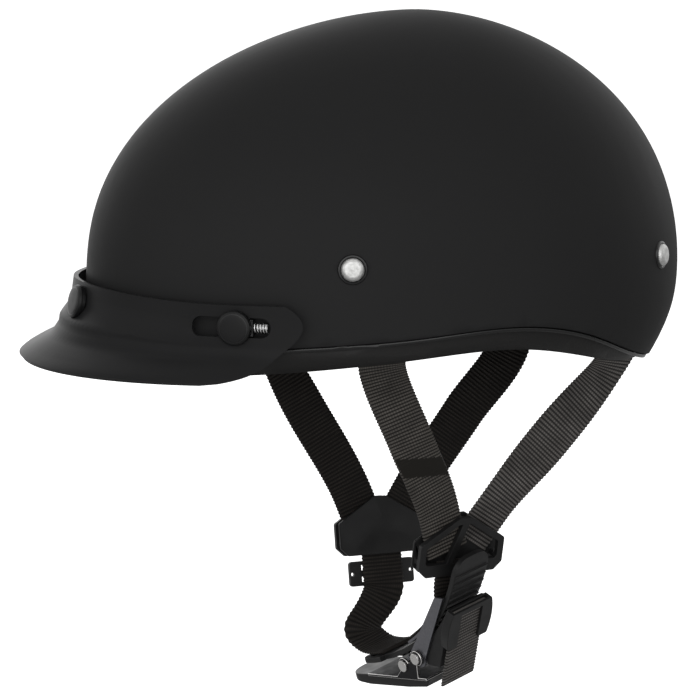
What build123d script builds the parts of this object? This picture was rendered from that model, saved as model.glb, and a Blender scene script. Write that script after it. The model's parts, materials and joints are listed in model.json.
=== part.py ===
from build123d import *
import os
from math import acos, asin, atan2, cos, degrees, floor, hypot, pi, radians, sin, sqrt, tan

# Half shell motorcycle helmet with a visor on snaps and a ratchet chin buckle, in millimetres.
# The wearer faces -Y and the wearer's left is +X. The origin is under the middle of the shell,
# at the height of the lowest rim, and the straps hang below it as they do when worn.

os.makedirs("parts", exist_ok=True)

# Shell: its plan is two half ellipses that share the widest line across the helmet
SHELL_LENGTH = 280.0
SHELL_WIDTH = 222.0
SHELL_HEIGHT = 155.0
SHELL_WALL = 3.0
FRONT_LENGTH = 155.0
WIDEST_Z = 36.0
RISE_POWER_SHARE = 2.25
PLAN_POWER_SHARE = 1.85
NAPE_TUCK_SHARE = 0.10
BACK_LENGTH = SHELL_LENGTH - FRONT_LENGTH
WIDEST_Y = FRONT_LENGTH - SHELL_LENGTH / 2
SECTION_ANGLES = (0, 14, 26, 37, 47, 56, 64, 71, 77, 82, 86, 88.6)
RIM_SECTIONS = 3

# Rim, seen from the side: heights along the helmet's length as shares of the height over the ear
EAR_EDGE_Z = 24.8
EDGE_Y_SHARES = (-0.75, -0.25, -0.11, 0.05, 0.18, 0.29, 0.39, 0.60)
SHELL_EDGE_SHARES = (0.63, 0.77, 0.89, 1.0, 0.73, 0.25, -0.07, -0.12)
COVER_EDGE_SHARES = (0.15, 0.32, 0.48, 0.57, 0.31, 0.04, 0.03, 0.03)
BASE_DEPTH = 15.0

# Rim cover, edge bead, foam liner and comfort pads, from the outside in
FIT_GAP = 0.3
COVER_WALL = 1.5
COVER_LEG = 13.0
BEAD_SIZE = 2.0
BEAD_INSET = 1.0
FOAM_SIDE = 19.0
FOAM_END = 25.0
FOAM_TOP = 23.0
PAD_THICKNESS = 5.0
PAD_BASE_Z = 34.0
PAD_TOP_Z = 74.0
CROWN_PAD_Z = 88.0
BROW_PAD_ANGLE = 38.0
NAPE_PAD_ANGLE = 38.0
PAD_GAP_ANGLE = 6.0

# Webbing and its rivets: where each strap is riveted, leaves the foam and enters its divider
WEBBING_WIDTH = 21.0
WEBBING_THICKNESS = 1.6
SLOT_CLEARANCE = 0.7
STRAP_END = 9.5
STRAP_DEPTH = 5.3
STRAP_LEAVE = 8.5
STRAP_LEAD_SHARE = 0.75
WEBBING_STEPS = 4
RIVET_HEAD_RADIUS = 5.0
RIVET_HEAD_HEIGHT = 2.4
RIVET_HEAD_EDGE = 2.2
RIVET_SHANK_RADIUS = 2.4
RIVET_CLEARANCE = 0.1
RIVET_DEPTH = 8.7
RIVET_TAIL_RADIUS = 3.6
RIVET_TAIL_HEIGHT = 1.1
WASHER_RADIUS = 6.5
WASHER_THICKNESS = 1.0
FRONT_RIVET_Y = -59.7
FRONT_RIVET_Z = 52.0
FRONT_FOAM_INSET = 8.0
FRONT_EXIT_INSET = 30.0
FRONT_EXIT_Y = -34.0
FRONT_EXIT_Z = 3.0
FRONT_ENTER_SHARES = (-0.22, 0.28)
FRONT_LEAVE_SHARES = (-0.13, -0.13)
REAR_RIVET_Y = 99.0
REAR_RIVET_Z = 47.5
REAR_FOAM_INSET = 10.5
REAR_EXIT_INSET = 16.5
REAR_EXIT_Y = 91.0
REAR_EXIT_Z = -10.0
REAR_ENTER_SHARES = (0.31, 0.33)
REAR_LEAVE_SHARES = (0.155, -0.02)
LEFT_FRONT_LEAN_SHARES = ((0.25, 0.97, 0.0), (0.30, 0.90, 0.32))
LEFT_REAR_LEAN_SHARES = ((-0.25, 0.85, -0.55), (0.20, 0.75, -0.63))
RIGHT_FRONT_LEAN_SHARES = ((-0.58, 0.77, 0.28), (0.10, 0.88, 0.45))
RIGHT_REAR_LEAN_SHARES = ((0.60, 0.60, -0.50), (0.30, 0.72, -0.62))

# Strap dividers: the frame, the webbing's two layers and the back, and the slider on the right
DIVIDER_X = 45.0
DIVIDER_Y = 18.0
LEFT_DIVIDER_Z = -86.0
RIGHT_DIVIDER_Z = -96.0
DIVIDER_TILT = 12.0
DIVIDER_YAW = 11.0
DIVIDER_ROLL = 7.0
DIVIDER_WIDTH = 44.0
DIVIDER_HEIGHT = 28.0
DIVIDER_APEX = 6.0
DIVIDER_SHOULDER = 16.0
DIVIDER_FOOT = 4.0
DIVIDER_THICKNESS = 4.0
DIVIDER_FRAME = 2.5
DIVIDER_BAR = 3.2
DIVIDER_BAR_ANGLE = 19.0
DIVIDER_BASE_BAR = 6.0
DIVIDER_CORNER = 1.5
DIVIDER_BACK = 1.2
DIVIDER_PEAK = 2.4
DIVIDER_PEAK_SHARE = 0.35
LUG_WIDTH = 3.5
LUG_HEIGHT = 2.6
LUG_INSET = 2.4
LAYER_PITCH = WEBBING_THICKNESS + FIT_GAP
STRAP_LEAD = 5.0
SLIDER_WIDTH = 33.0
SLIDER_HEIGHT = 12.0
SLIDER_THICKNESS = 2.6
SLIDER_BAR = 3.0
SLIDER_SLOT = 2.6
SLIDER_HOLE = 0.9
SLIDER_DROP = 9.0

# Buckle: its plane stands on the pivot pin, and its tongue follows an arc in that plane
PIVOT_X = 18.0
PIVOT_Y = 19.5
PIVOT_Z = -142.0
BUCKLE_YAW = 16.0
BUCKLE_PITCH = 11.5
TONGUE_CENTRE_A = -54.1
TONGUE_CENTRE_B = 91.2
TONGUE_RADIUS = 100.0
TONGUE_WIDTH = 21.0
TONGUE_THICKNESS = 2.4
TONGUE_TIP_ANGLE = -22.5
TONGUE_BASE_ANGLE = -82.5
TONGUE_TIP_CORNER = 8.0
TONGUE_SIDE_CLEARANCE = 0.4
TONGUE_GAP = 0.5
BASE_WIDTH = 28.0
BASE_ANGLE = 8.5
BASE_CORNER = 4.0
BASE_SLOT = 3.0
TOOTH_HEIGHT = 0.9
TOOTH_PITCH = 4.6
TOOTH_SHARE = 0.62
TOOTH_START = 9.0
TOOTH_INSET = 0.6
TOOTH_COUNT = 16
LEFT_CHIN_ANGLES = (-43.0, -48.0, -54.0, -60.0)
RIGHT_CHIN_TURNS = ((5.2, -89.5), (1.0, -85.0), (0.0, -80.0), (0.0, -75.0))

# Buckle: the steel channel, the moulded frame and the tray for the strap's tail
CHANNEL_WALL = 1.2
CHANNEL_TOP_ANGLE = -38.5
CHANNEL_LOW_ANGLE = -60.0
CHEEK_HEIGHT = 33.5
CHEEK_SHARES = (
    (0.60, 0.985), (0.78, 1.0), (0.37, 0.36), (0.149, 0.0), (0.0, -0.10), (-0.105, 0.107), (0.27, 0.57),
)
CHEEK_FOOT_RADIUS = 5.0
PIN_RADIUS = 1.6
PIN_CLEARANCE = 0.05
PIN_HEAD_RADIUS = 2.8
PIN_HEAD_HEIGHT = 1.1
FRAME_PIVOT_GAP = 4.5
TRAY_TOP_A = 28.0
TRAY_TOP_B = 28.0
TRAY_FOOT_A = 13.0
TRAY_FOOT_B = -3.4
TRAY_FLOOR = 1.0
RAIL_WALL = 1.5
RAIL_BULGE = 1.6
RAIL_LENGTH = 21.0
RAIL_LIP = 4.2
LIP_THICKNESS = 1.4
KEEPER_BAR = 2.6
TAIL_DROP = 10.0

# Buckle: the lever with its ears, the pawl and the spring on the pivot
PAWL_PIN_A = -10.0
PAWL_PIN_B = -5.2
PAWL_RADIUS = 2.7
PAWL_WIDTH = 18.0
PAWL_GAP = 0.3
EAR_GAP = 0.3
EAR_WALL = 1.2
EAR_RADIUS = 3.7
EAR_INSET = 6.0
EAR_FOOT = 17.0
LEVER_TOP_B = -9.4
LEVER_SLOPE = 6.6
LEVER_WIDTH = 23.0
LEVER_REACH = 64.0
LEVER_DEPTH = 6.45
PADDLE_SHARES = (
    (-0.875, -0.25), (-1.0, -0.28), (-1.0, -0.74), (-0.73, -1.0), (-0.27, -0.95), (-0.06, -0.81),
)
LEVER_END_RADIUS = 11.0
PLATE_REACH = 44.0
PLATE_THICKNESS = 1.2
SPRING_WIRE = 0.7
SPRING_PITCH = 1.5
SPRING_RADIUS = 2.3
SPRING_TURNS = 6

# Visor: a sheet held off the shell by three snaps, level round the snaps and flared below
VISOR_SHEET = 2.2
VISOR_SPAN = 50.0
VISOR_FRONT_ANGLE = 28.0
VISOR_STEPS = 8
VISOR_TOP_Z = 37.0
VISOR_PEAK_RISE = 1.5
VISOR_LIP_Z = 4.0
VISOR_FLARE = 29.6
FLARE_POWER_SHARE = 1.3
FLARE_HANDLE_SHARE = 0.33
ARM_FLARE = 1.5
FRONT_LEAN = 12.0
TIP_LEAN = 54.0
ARM_TIP_LEAN = 12.0
FRONT_BAND = 15.0
ARM_BAND = 17.0
STANDOFF = 3.4
ARM_Y_SHARES = (0.697, 0.645, 0.621, 0.632, 0.665, 0.706, 0.755, 0.806, 0.903)
ARM_Z_SHARES = (1.03, 0.946, 0.77, 0.635, 0.486, 0.351, 0.243, 0.176, 0.100)
SLOT_LENGTH = 35.0
SLOT_WIDTH = 8.5
SLOT_LEAD = 2.2
SIDE_SNAP_SETBACK = 38.3
SIDE_SNAP_Y = WIDEST_Y - FRONT_LENGTH + SIDE_SNAP_SETBACK
SIDE_SNAP_Z = 27.6
FRONT_SNAP_Z = 30.0

# Snaps: a stud on the shell, a socket behind the sheet, a shoe through it and a cap outside
CAP_RADIUS = 7.4
CAP_THICKNESS = 3.4
CAP_EDGE = 1.5
SHOE_RADIUS = 3.6
SHOE_REACH = 7.8
SHOE_CLEARANCE = 0.3
SOCKET_GAP = 0.7
SOCKET_HEIGHT = 1.9
SOCKET_RADIUS = 6.4
SOCKET_BORE = 5.4
SOCKET_FLOOR = 0.6
STUD_FLANGE_RADIUS = 3.2
STUD_FLANGE = 0.4
STUD_RADIUS = 2.6
STUD_HEIGHT = 1.1
STUD_TAPER = 30.0
STUD_SHANK_RADIUS = 2.0
STUD_BACK_RADIUS = 3.8
STUD_BACK = 0.9
SURFACE_GAP = 0.2
SLOT_SPRING_RADIUS = 2.0
SLOT_SPRING_WIRE = 0.6
SLOT_SPRING_PITCH = 1.25

OVERRUN = 30.0
PROBE_STEP = 1.0


def finish(builder, label):
    """Names a piece and writes it."""
    builder.part.label = label
    export_step(builder.part, f"parts/{label}.step")


# Domes: every layer of the helmet is one, drawn in from the outside of the shell
def dome_sizes(z, side=0.0, end=0.0, top=0.0):
    """Half width, front and back lengths of a dome's plan at height z, less its insets."""
    half, front, back = SHELL_WIDTH / 2 - side, FRONT_LENGTH - end, BACK_LENGTH - end
    if z >= WIDEST_Z:
        rise = min((z - WIDEST_Z) / (SHELL_HEIGHT - top - WIDEST_Z), 1)
        share = (1 - rise ** RISE_POWER_SHARE) ** (1 / PLAN_POWER_SHARE)
        return half * share, front * share, back * share
    tuck = NAPE_TUCK_SHARE * ((WIDEST_Z - z) / WIDEST_Z) ** 2
    return half * (1 - tuck / 2), front, back * (1 - tuck)


def dome(side=0.0, end=0.0, top=0.0, sections=len(SECTION_ANGLES)):
    """A solid dome whose plan and height are drawn in from the outside of the shell."""
    rise = SHELL_HEIGHT - top - WIDEST_Z
    heights = [-BASE_DEPTH, 0, WIDEST_Z / 3, WIDEST_Z * 2 / 3]
    heights += [
        WIDEST_Z + rise * sin(radians(angle)) ** (2 / RISE_POWER_SHARE)
        for angle in SECTION_ANGLES[:sections]
    ]
    with BuildPart() as solid:
        for z in heights:
            half, front, back = dome_sizes(z, side, end, top)
            with BuildSketch(Plane.XY.offset(z)):
                with BuildLine():
                    EllipticalCenterArc((0, WIDEST_Y), half, back, 0, arc_size=180)
                    EllipticalCenterArc((0, WIDEST_Y), half, front, 180, arc_size=180)
                make_face()
        loft()
    return solid.part


def dome_plane(y, z, side=1, inset=0.0):
    """Plane on a dome's surface at the side given, facing out, with its x along the rim."""
    half, front, back = dome_sizes(z, inset, inset, inset)
    length = front if y < WIDEST_Y else back
    x = half * sqrt(max(1 - ((y - WIDEST_Y) / length) ** 2, 0))
    above, below = (dome_sizes(z + s, inset, inset, inset)[0] for s in (PROBE_STEP, -PROBE_STEP))
    slope = (above - below) / (2 * PROBE_STEP)
    normal = Vector(side * x / half ** 2, (y - WIDEST_Y) / length ** 2, -slope / half)
    return Plane(origin=(side * x, y, z), x_dir=(-normal.Y, normal.X, 0), z_dir=normal)


def edge_points(shares, lift=0.0):
    """Points of a rim edge in the side view."""
    return [(y * SHELL_LENGTH, z * EAR_EDGE_Z + lift) for y, z in zip(EDGE_Y_SHARES, shares)]


def side_region(low, high):
    """Everything between two edges of the side view, across the whole helmet."""
    with BuildPart() as region:
        with BuildSketch(Plane.YZ):
            with BuildLine():
                bottom = Spline(*low) if len(low) > 2 else Line(*low)
                top = Spline(*high) if len(high) > 2 else Line(*high)
                Line(bottom @ 0, top @ 0)
                Line(bottom @ 1, top @ 1)
            make_face()
        extrude(amount=SHELL_WIDTH / 2 + OVERRUN, both=True)
    return region.part


FAR_Y = (EDGE_Y_SHARES[0] * SHELL_LENGTH, EDGE_Y_SHARES[-1] * SHELL_LENGTH)
FLOOR = [(y, -BASE_DEPTH - OVERRUN) for y in FAR_Y]
below_shell = side_region(FLOOR, edge_points(SHELL_EDGE_SHARES))
below_foot = side_region(FLOOR, edge_points(COVER_EDGE_SHARES, COVER_WALL))
below_foam = side_region(FLOOR, edge_points(COVER_EDGE_SHARES, COVER_WALL + FIT_GAP))
cover_band = side_region(edge_points(COVER_EDGE_SHARES), edge_points(COVER_EDGE_SHARES, COVER_LEG))
bead_band = side_region(
    edge_points(SHELL_EDGE_SHARES, -FIT_GAP - BEAD_SIZE), edge_points(SHELL_EDGE_SHARES, -FIT_GAP)
)

# Insets of the layers, and where each fitting sits
COVER_INSET = SHELL_WALL + FIT_GAP
FOAM_INSET = COVER_INSET + COVER_WALL + FIT_GAP
CAVITY = (FOAM_INSET + FOAM_SIDE, FOAM_INSET + FOAM_END, FOAM_INSET + FOAM_TOP)
SIDES = (1, -1)
rivet_planes = [dome_plane(FRONT_RIVET_Y, FRONT_RIVET_Z, side) for side in SIDES]
rivet_planes += [dome_plane(REAR_RIVET_Y, REAR_RIVET_Z, side) for side in SIDES]


def level_plane(spot, side):
    """Plane at a side snap's place on the shell, but facing level, with its x to the rear."""
    out = Vector(spot.z_dir.X, spot.z_dir.Y, 0).normalized()
    return Plane(origin=spot.origin, x_dir=(-side * out.Y, side * out.X, 0), z_dir=out)


front_snap_plane = Plane(
    origin=(0, WIDEST_Y - FRONT_LENGTH, FRONT_SNAP_Z), x_dir=(1, 0, 0), z_dir=(0, -1, 0)
)
side_snap_planes = [dome_plane(SIDE_SNAP_Y, SIDE_SNAP_Z, side) for side in SIDES]
snap_planes = [front_snap_plane] + side_snap_planes


def divider_plane(side, z):
    """Middle plane of a strap divider, facing out, back and a little down, its rear end lower."""
    tilt, yaw = radians(DIVIDER_TILT), radians(DIVIDER_YAW)
    level = Plane(
        origin=(side * DIVIDER_X, DIVIDER_Y, z), x_dir=(-sin(yaw), side * cos(yaw), 0),
        z_dir=(side * cos(tilt) * cos(yaw), cos(tilt) * sin(yaw), -sin(tilt)),
    )
    return level.rotated((0, 0, -side * DIVIDER_ROLL))


left_divider_plane = divider_plane(1, LEFT_DIVIDER_Z)
right_divider_plane = divider_plane(-1, RIGHT_DIVIDER_Z)


# Webbing
def slope_at(values, runs, i):
    """Slope of a smooth curve at its value i, nearest to that of the shorter stretch beside it."""
    if i == 0 or i == len(runs):
        end = min(i, len(runs) - 1)
        return (values[end + 1] - values[end]) / runs[end]
    before, after = (values[i] - values[i - 1]) / runs[i - 1], (values[i + 1] - values[i]) / runs[i]
    return (before * runs[i] + after * runs[i - 1]) / (runs[i - 1] + runs[i])


def smooth(values, runs, i, share):
    """Value and slope of a smooth curve through values, at a share of its stretch i."""
    rest, run = 1 - share, runs[i]
    first, last = slope_at(values, runs, i), slope_at(values, runs, i + 1)
    value = values[i] * (1 + 2 * share) * rest ** 2 + first * run * share * rest ** 2
    value += values[i + 1] * (1 + 2 * rest) * share ** 2 - last * run * rest * share ** 2
    slope = (values[i + 1] - values[i]) * 6 * share * rest / run
    slope += first * rest * (1 - 3 * share) + last * share * (1 - 3 * rest)
    return value, slope


def webbing(stations, grow=0.0):
    """A flat strap through stations of a centre and a width direction, or a ruled slot for it."""
    centres = [Vector(*centre) for centre, _ in stations]
    widths = [Vector(*width).normalized() for _, width in stations]
    runs = [(end - start).length for start, end in zip(centres, centres[1:])]
    steps = [(i, step / WEBBING_STEPS) for i in range(len(runs)) for step in range(WEBBING_STEPS)]
    with BuildPart() as strap:
        for i, share in steps + [(len(runs) - 1, 1)]:
            centre, ahead = smooth(centres, runs, i, share)
            width, _ = smooth(widths, runs, i, share)
            ahead = ahead.normalized()
            with BuildSketch(Plane(origin=centre, x_dir=width - ahead * width.dot(ahead), z_dir=ahead)):
                Rectangle(WEBBING_WIDTH + 2 * grow, WEBBING_THICKNESS + 2 * grow)
        loft(ruled=grow > 0)
    return strap.part


def strap_path(strap_end, side, plane, leans):
    """Stations of a strap: flat at its rivet, through the foam, below the rim, free, in its divider."""
    rivet_y, rivet_z, exit_y, exit_z, exit_inset, foam_inset, enter, leave, layer = strap_end
    rivet = dome_plane(rivet_y, rivet_z, side)
    rim = dome_plane(exit_y, exit_z, side, exit_inset).origin
    down = rim - rivet.origin
    down = (down - rivet.z_dir * down.dot(rivet.z_dir)).normalized()
    seat = rivet.origin - rivet.z_dir * STRAP_DEPTH
    stations = [(seat + down * reach, rivet.x_dir * side) for reach in (-STRAP_END, 0, STRAP_LEAVE)]
    inside = dome_plane((stations[-1][0].Y + exit_y) / 2, (rivet_z + exit_z) / 2, side, foam_inset)
    stations.append((inside.origin, inside.x_dir * side))
    depth = DIVIDER_THICKNESS / 2 - DIVIDER_FRAME - LAYER_PITCH * (layer + 1) + WEBBING_THICKNESS / 2
    low = [
        plane.from_local_coords(Vector(side * x * DIVIDER_WIDTH, y * DIVIDER_HEIGHT, depth))
        for x, y in (enter, leave)
    ]
    low.insert(0, low[0] + (low[0] - low[1]) * STRAP_LEAD_SHARE)
    across = plane.z_dir.cross(low[1] - low[0]).normalized() * side
    exit_lean, middle_lean = (Vector(*lean) for lean in leans)
    if across.dot(middle_lean) < 0:
        across = across * -1
    stations += [(rim, exit_lean), (rim + (low[0] - rim) / 2, middle_lean)]
    return stations + [(spot, across) for spot in low]


FRONT_STRAP = (
    FRONT_RIVET_Y, FRONT_RIVET_Z, FRONT_EXIT_Y, FRONT_EXIT_Z, FRONT_EXIT_INSET, FRONT_FOAM_INSET,
    FRONT_ENTER_SHARES, FRONT_LEAVE_SHARES, 0,
)
REAR_STRAP = (
    REAR_RIVET_Y, REAR_RIVET_Z, REAR_EXIT_Y, REAR_EXIT_Z, REAR_EXIT_INSET, REAR_FOAM_INSET,
    REAR_ENTER_SHARES, REAR_LEAVE_SHARES, 1,
)
strap_routes = {
    "left_front_strap": strap_path(FRONT_STRAP, 1, left_divider_plane, LEFT_FRONT_LEAN_SHARES),
    "left_rear_strap": strap_path(REAR_STRAP, 1, left_divider_plane, LEFT_REAR_LEAN_SHARES),
    "right_front_strap": strap_path(FRONT_STRAP, -1, right_divider_plane, RIGHT_FRONT_LEAN_SHARES),
    "right_rear_strap": strap_path(REAR_STRAP, -1, right_divider_plane, RIGHT_REAR_LEAN_SHARES),
}
strap_slots = [webbing(route, SLOT_CLEARANCE) for route in strap_routes.values()]

for name, route in strap_routes.items():
    with BuildPart() as strap:
        add(webbing(route))
        rivet_plane = rivet_planes[(0 if "front" in name else 2) + (0 if "left" in name else 1)]
        with BuildSketch(rivet_plane):
            Circle(RIVET_SHANK_RADIUS + RIVET_CLEARANCE)
        extrude(amount=-RIVET_DEPTH, mode=Mode.SUBTRACT)
    finish(strap, name)

# Shell, with holes for the rivets and for the visor's studs
with BuildPart() as outer_shell:
    add(dome())
    add(dome(SHELL_WALL, SHELL_WALL, SHELL_WALL), mode=Mode.SUBTRACT)
    add(below_shell, mode=Mode.SUBTRACT)
    with BuildSketch(*rivet_planes):
        Circle(RIVET_SHANK_RADIUS + RIVET_CLEARANCE)
    extrude(amount=RIVET_DEPTH, both=True, mode=Mode.SUBTRACT)
    with BuildSketch(*snap_planes):
        Circle(STUD_SHANK_RADIUS + RIVET_CLEARANCE)
    extrude(amount=RIVET_DEPTH, both=True, mode=Mode.SUBTRACT)
finish(outer_shell, "outer_shell")

# Foam liner: its foot stands in the rim cover, and its outside has a pocket behind each rivet
foam_outside = dome(FOAM_INSET, FOAM_INSET, FOAM_INSET)
cavity = dome(*CAVITY)
with BuildPart() as impact_liner:
    add(foam_outside)
    add(cavity, mode=Mode.SUBTRACT)
    add(below_foam, mode=Mode.SUBTRACT)
    for slot in strap_slots:
        add(slot, mode=Mode.SUBTRACT)
    with BuildSketch(*rivet_planes):
        Circle(WASHER_RADIUS + SLOT_CLEARANCE)
    extrude(amount=-RIVET_DEPTH - SLOT_CLEARANCE, mode=Mode.SUBTRACT)
finish(impact_liner, "impact_liner")

# Rim cover: a folded skin round the foot of the foam
PAD_OUTER = [inset + FIT_GAP for inset in CAVITY]
COVER_INNER = [inset + COVER_WALL for inset in PAD_OUTER]
foot_inset = FOAM_INSET - FIT_GAP
with BuildPart() as foam_foot:
    add(dome(foot_inset, foot_inset, foot_inset, RIM_SECTIONS))
    add(dome(*PAD_OUTER, RIM_SECTIONS), mode=Mode.SUBTRACT)
    add(below_foot, mode=Mode.SUBTRACT)
with BuildPart() as rim_cover:
    add(dome(COVER_INSET, COVER_INSET, COVER_INSET, RIM_SECTIONS))
    add(dome(*COVER_INNER, RIM_SECTIONS), mode=Mode.SUBTRACT)
    add(cover_band, mode=Mode.INTERSECT)
    add(foam_foot.part, mode=Mode.SUBTRACT)
    for slot in strap_slots:
        add(slot, mode=Mode.SUBTRACT)
finish(rim_cover, "rim_cover")

# Bead: a soft edge between the shell's rim and the cover
bead_inner = BEAD_INSET + BEAD_SIZE
with BuildPart() as edge_bead:
    add(dome(BEAD_INSET, BEAD_INSET, BEAD_INSET, RIM_SECTIONS))
    add(dome(bead_inner, bead_inner, bead_inner, RIM_SECTIONS), mode=Mode.SUBTRACT)
    add(bead_band, mode=Mode.INTERSECT)
finish(edge_bead, "edge_bead")

# Comfort pads: four stretches of a ring round the head, and one pad under the crown
PAD_INNER = [inset + PAD_THICKNESS for inset in PAD_OUTER]
with BuildPart() as pad_skin:
    add(dome(*PAD_OUTER))
    add(dome(*PAD_INNER), mode=Mode.SUBTRACT)
with BuildPart() as crown_pad:
    add(pad_skin.part)
    with BuildSketch(Plane.XY.offset(CROWN_PAD_Z)):
        Circle(SHELL_LENGTH)
    extrude(amount=SHELL_HEIGHT, mode=Mode.INTERSECT)
finish(crown_pad, "crown_pad")

pad_spans = {
    "brow_pad": (-90 - BROW_PAD_ANGLE, -90 + BROW_PAD_ANGLE),
    "left_side_pad": (-90 + BROW_PAD_ANGLE, 90 - NAPE_PAD_ANGLE),
    "nape_pad": (90 - NAPE_PAD_ANGLE, 90 + NAPE_PAD_ANGLE),
    "right_side_pad": (90 + NAPE_PAD_ANGLE, 270 - BROW_PAD_ANGLE),
}
for name, (start, end) in pad_spans.items():
    with BuildPart() as pad:
        add(pad_skin.part)
        with BuildSketch(Plane.XY.offset(PAD_BASE_Z)):
            with BuildLine():
                first, last = start + PAD_GAP_ANGLE / 2, end - PAD_GAP_ANGLE / 2
                rim = CenterArc((0, WIDEST_Y), SHELL_LENGTH, first, last - first)
                Polyline(rim @ 0, (0, WIDEST_Y), rim @ 1)
            make_face()
        extrude(amount=PAD_TOP_Z - PAD_BASE_Z, mode=Mode.INTERSECT)
    finish(pad, name)

# Strap rivets and the washers that hold the webbing
with BuildPart() as strap_rivets:
    with BuildSketch(*[plane.offset(SURFACE_GAP) for plane in rivet_planes]):
        Circle(RIVET_SHANK_RADIUS)
    extrude(amount=-RIVET_DEPTH)
    with BuildSketch(*[plane.offset(-RIVET_DEPTH) for plane in rivet_planes]):
        Circle(RIVET_TAIL_RADIUS)
    extrude(amount=RIVET_TAIL_HEIGHT)
    for plane in rivet_planes:
        with BuildSketch(plane.offset(SURFACE_GAP)):
            Circle(RIVET_HEAD_RADIUS)
        head = extrude(amount=RIVET_HEAD_HEIGHT)
        fillet(head.faces().sort_by(Axis(plane.origin, plane.z_dir))[-1].edges(), RIVET_HEAD_EDGE)
finish(strap_rivets, "strap_rivets")

washer_depth = RIVET_DEPTH - RIVET_TAIL_HEIGHT - RIVET_CLEARANCE
with BuildPart() as rivet_washers:
    with BuildSketch(*[plane.offset(-washer_depth) for plane in rivet_planes]):
        Circle(WASHER_RADIUS)
        Circle(RIVET_SHANK_RADIUS + RIVET_CLEARANCE, mode=Mode.SUBTRACT)
    extrude(amount=WASHER_THICKNESS)
finish(rivet_washers, "rivet_washers")


# Strap dividers: a windowed frame outside, a closed back on the neck side, the webbing between
def divider_face(inset, corner=0.0):
    """Outline of a divider: an apex, two long slopes, upright sides and a narrower base."""
    half, low, top = DIVIDER_WIDTH / 2 - inset, inset - DIVIDER_HEIGHT / 2, DIVIDER_HEIGHT / 2 - inset
    shoulder, waist = low + DIVIDER_SHOULDER - inset * 3 / 2, low + DIVIDER_FOOT
    right = [(DIVIDER_APEX / 2, top), (half, shoulder), (half, waist), (half - DIVIDER_FOOT, low)]
    with BuildSketch() as face:
        Polygon(*right, *[(-x, y) for x, y in reversed(right)], align=None)
        if corner:
            fillet(face.vertices(), corner)
    return face.sketch


def make_divider(plane, side, name):
    """The windowed frame of a divider and its back, with the lugs that join them."""
    low = -DIVIDER_HEIGHT / 2
    frame_depth = DIVIDER_THICKNESS / 2 - DIVIDER_FRAME
    with BuildPart() as frame:
        with BuildSketch(plane.offset(frame_depth)):
            add(divider_face(0, DIVIDER_CORNER))
        extrude(amount=DIVIDER_FRAME)
        with BuildSketch(plane.offset(frame_depth)):
            add(divider_face(DIVIDER_BAR, DIVIDER_CORNER / 2))
            with Locations((0, low)):
                Rectangle(DIVIDER_WIDTH, DIVIDER_BASE_BAR * 2, mode=Mode.SUBTRACT)
            with Locations((-side * DIVIDER_BAR, 0)):
                Rectangle(
                    DIVIDER_BAR, DIVIDER_HEIGHT * 2, rotation=-side * DIVIDER_BAR_ANGLE, mode=Mode.SUBTRACT
                )
        extrude(amount=DIVIDER_FRAME, mode=Mode.SUBTRACT)
    finish(frame, name)
    back_depth = frame_depth - 2 * LAYER_PITCH - FIT_GAP
    with BuildPart() as back:
        with BuildSketch(plane.offset(back_depth)):
            add(divider_face(0, DIVIDER_CORNER))
        extrude(amount=-DIVIDER_BACK)
        with BuildSketch(plane.offset(-DIVIDER_BACK + back_depth)):
            add(divider_face(DIVIDER_CORNER))
        with BuildSketch(plane.offset(-DIVIDER_BACK - DIVIDER_PEAK + back_depth)):
            add(divider_face(DIVIDER_CORNER))
            scale(by=DIVIDER_PEAK_SHARE)
        loft()
        with BuildSketch(plane.offset(back_depth)):
            with Locations(*[(x * (WEBBING_WIDTH / 2 + LUG_WIDTH), low + LUG_HEIGHT) for x in SIDES]):
                Rectangle(LUG_WIDTH, LUG_HEIGHT)
            side_lug_x, side_lug_y = DIVIDER_WIDTH / 2 - LUG_INSET, low + DIVIDER_FOOT + LUG_HEIGHT
            with Locations(*[(side * side_lug_x, side_lug_y) for side in SIDES]):
                Rectangle(LUG_INSET, LUG_HEIGHT)
        extrude(amount=frame_depth - back_depth)
    finish(back, f"{name}_back")


make_divider(left_divider_plane, 1, "left_divider")
make_divider(right_divider_plane, -1, "right_divider")

# Buckle: points of its plane, stretches of rings round the tongue's centre, and flat outlines
buckle_normal = Vector(
    sin(radians(BUCKLE_YAW)) * cos(radians(BUCKLE_PITCH)),
    -cos(radians(BUCKLE_YAW)) * cos(radians(BUCKLE_PITCH)),
    -sin(radians(BUCKLE_PITCH)),
)
buckle_plane = Plane(origin=(PIVOT_X, PIVOT_Y, PIVOT_Z), x_dir=(1, 0, 0), z_dir=buckle_normal)
TONGUE_CENTRE = (TONGUE_CENTRE_A, TONGUE_CENTRE_B)
PAWL_PIN = (PAWL_PIN_A, PAWL_PIN_B)
tongue_inner = TONGUE_RADIUS - TONGUE_THICKNESS / 2
tongue_outer = TONGUE_RADIUS + TONGUE_THICKNESS / 2
crest_radius = tongue_outer + TOOTH_HEIGHT
base_top_angle = TONGUE_BASE_ANGLE + BASE_ANGLE


def ring_point(radius, angle):
    """A point at a radius and an angle about the tongue's centre, in the buckle's plane."""
    return (
        TONGUE_CENTRE_A + radius * cos(radians(angle)),
        TONGUE_CENTRE_B + radius * sin(radians(angle)),
    )


def ring_plane(radius, angle):
    """Plane that faces away from the tongue's centre, with its x across the tongue."""
    spot = buckle_plane.from_local_coords(Vector(*ring_point(radius, angle), 0))
    centre = buckle_plane.from_local_coords(Vector(*TONGUE_CENTRE, 0))
    return Plane(origin=spot, x_dir=buckle_plane.z_dir, z_dir=spot - centre)


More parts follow.
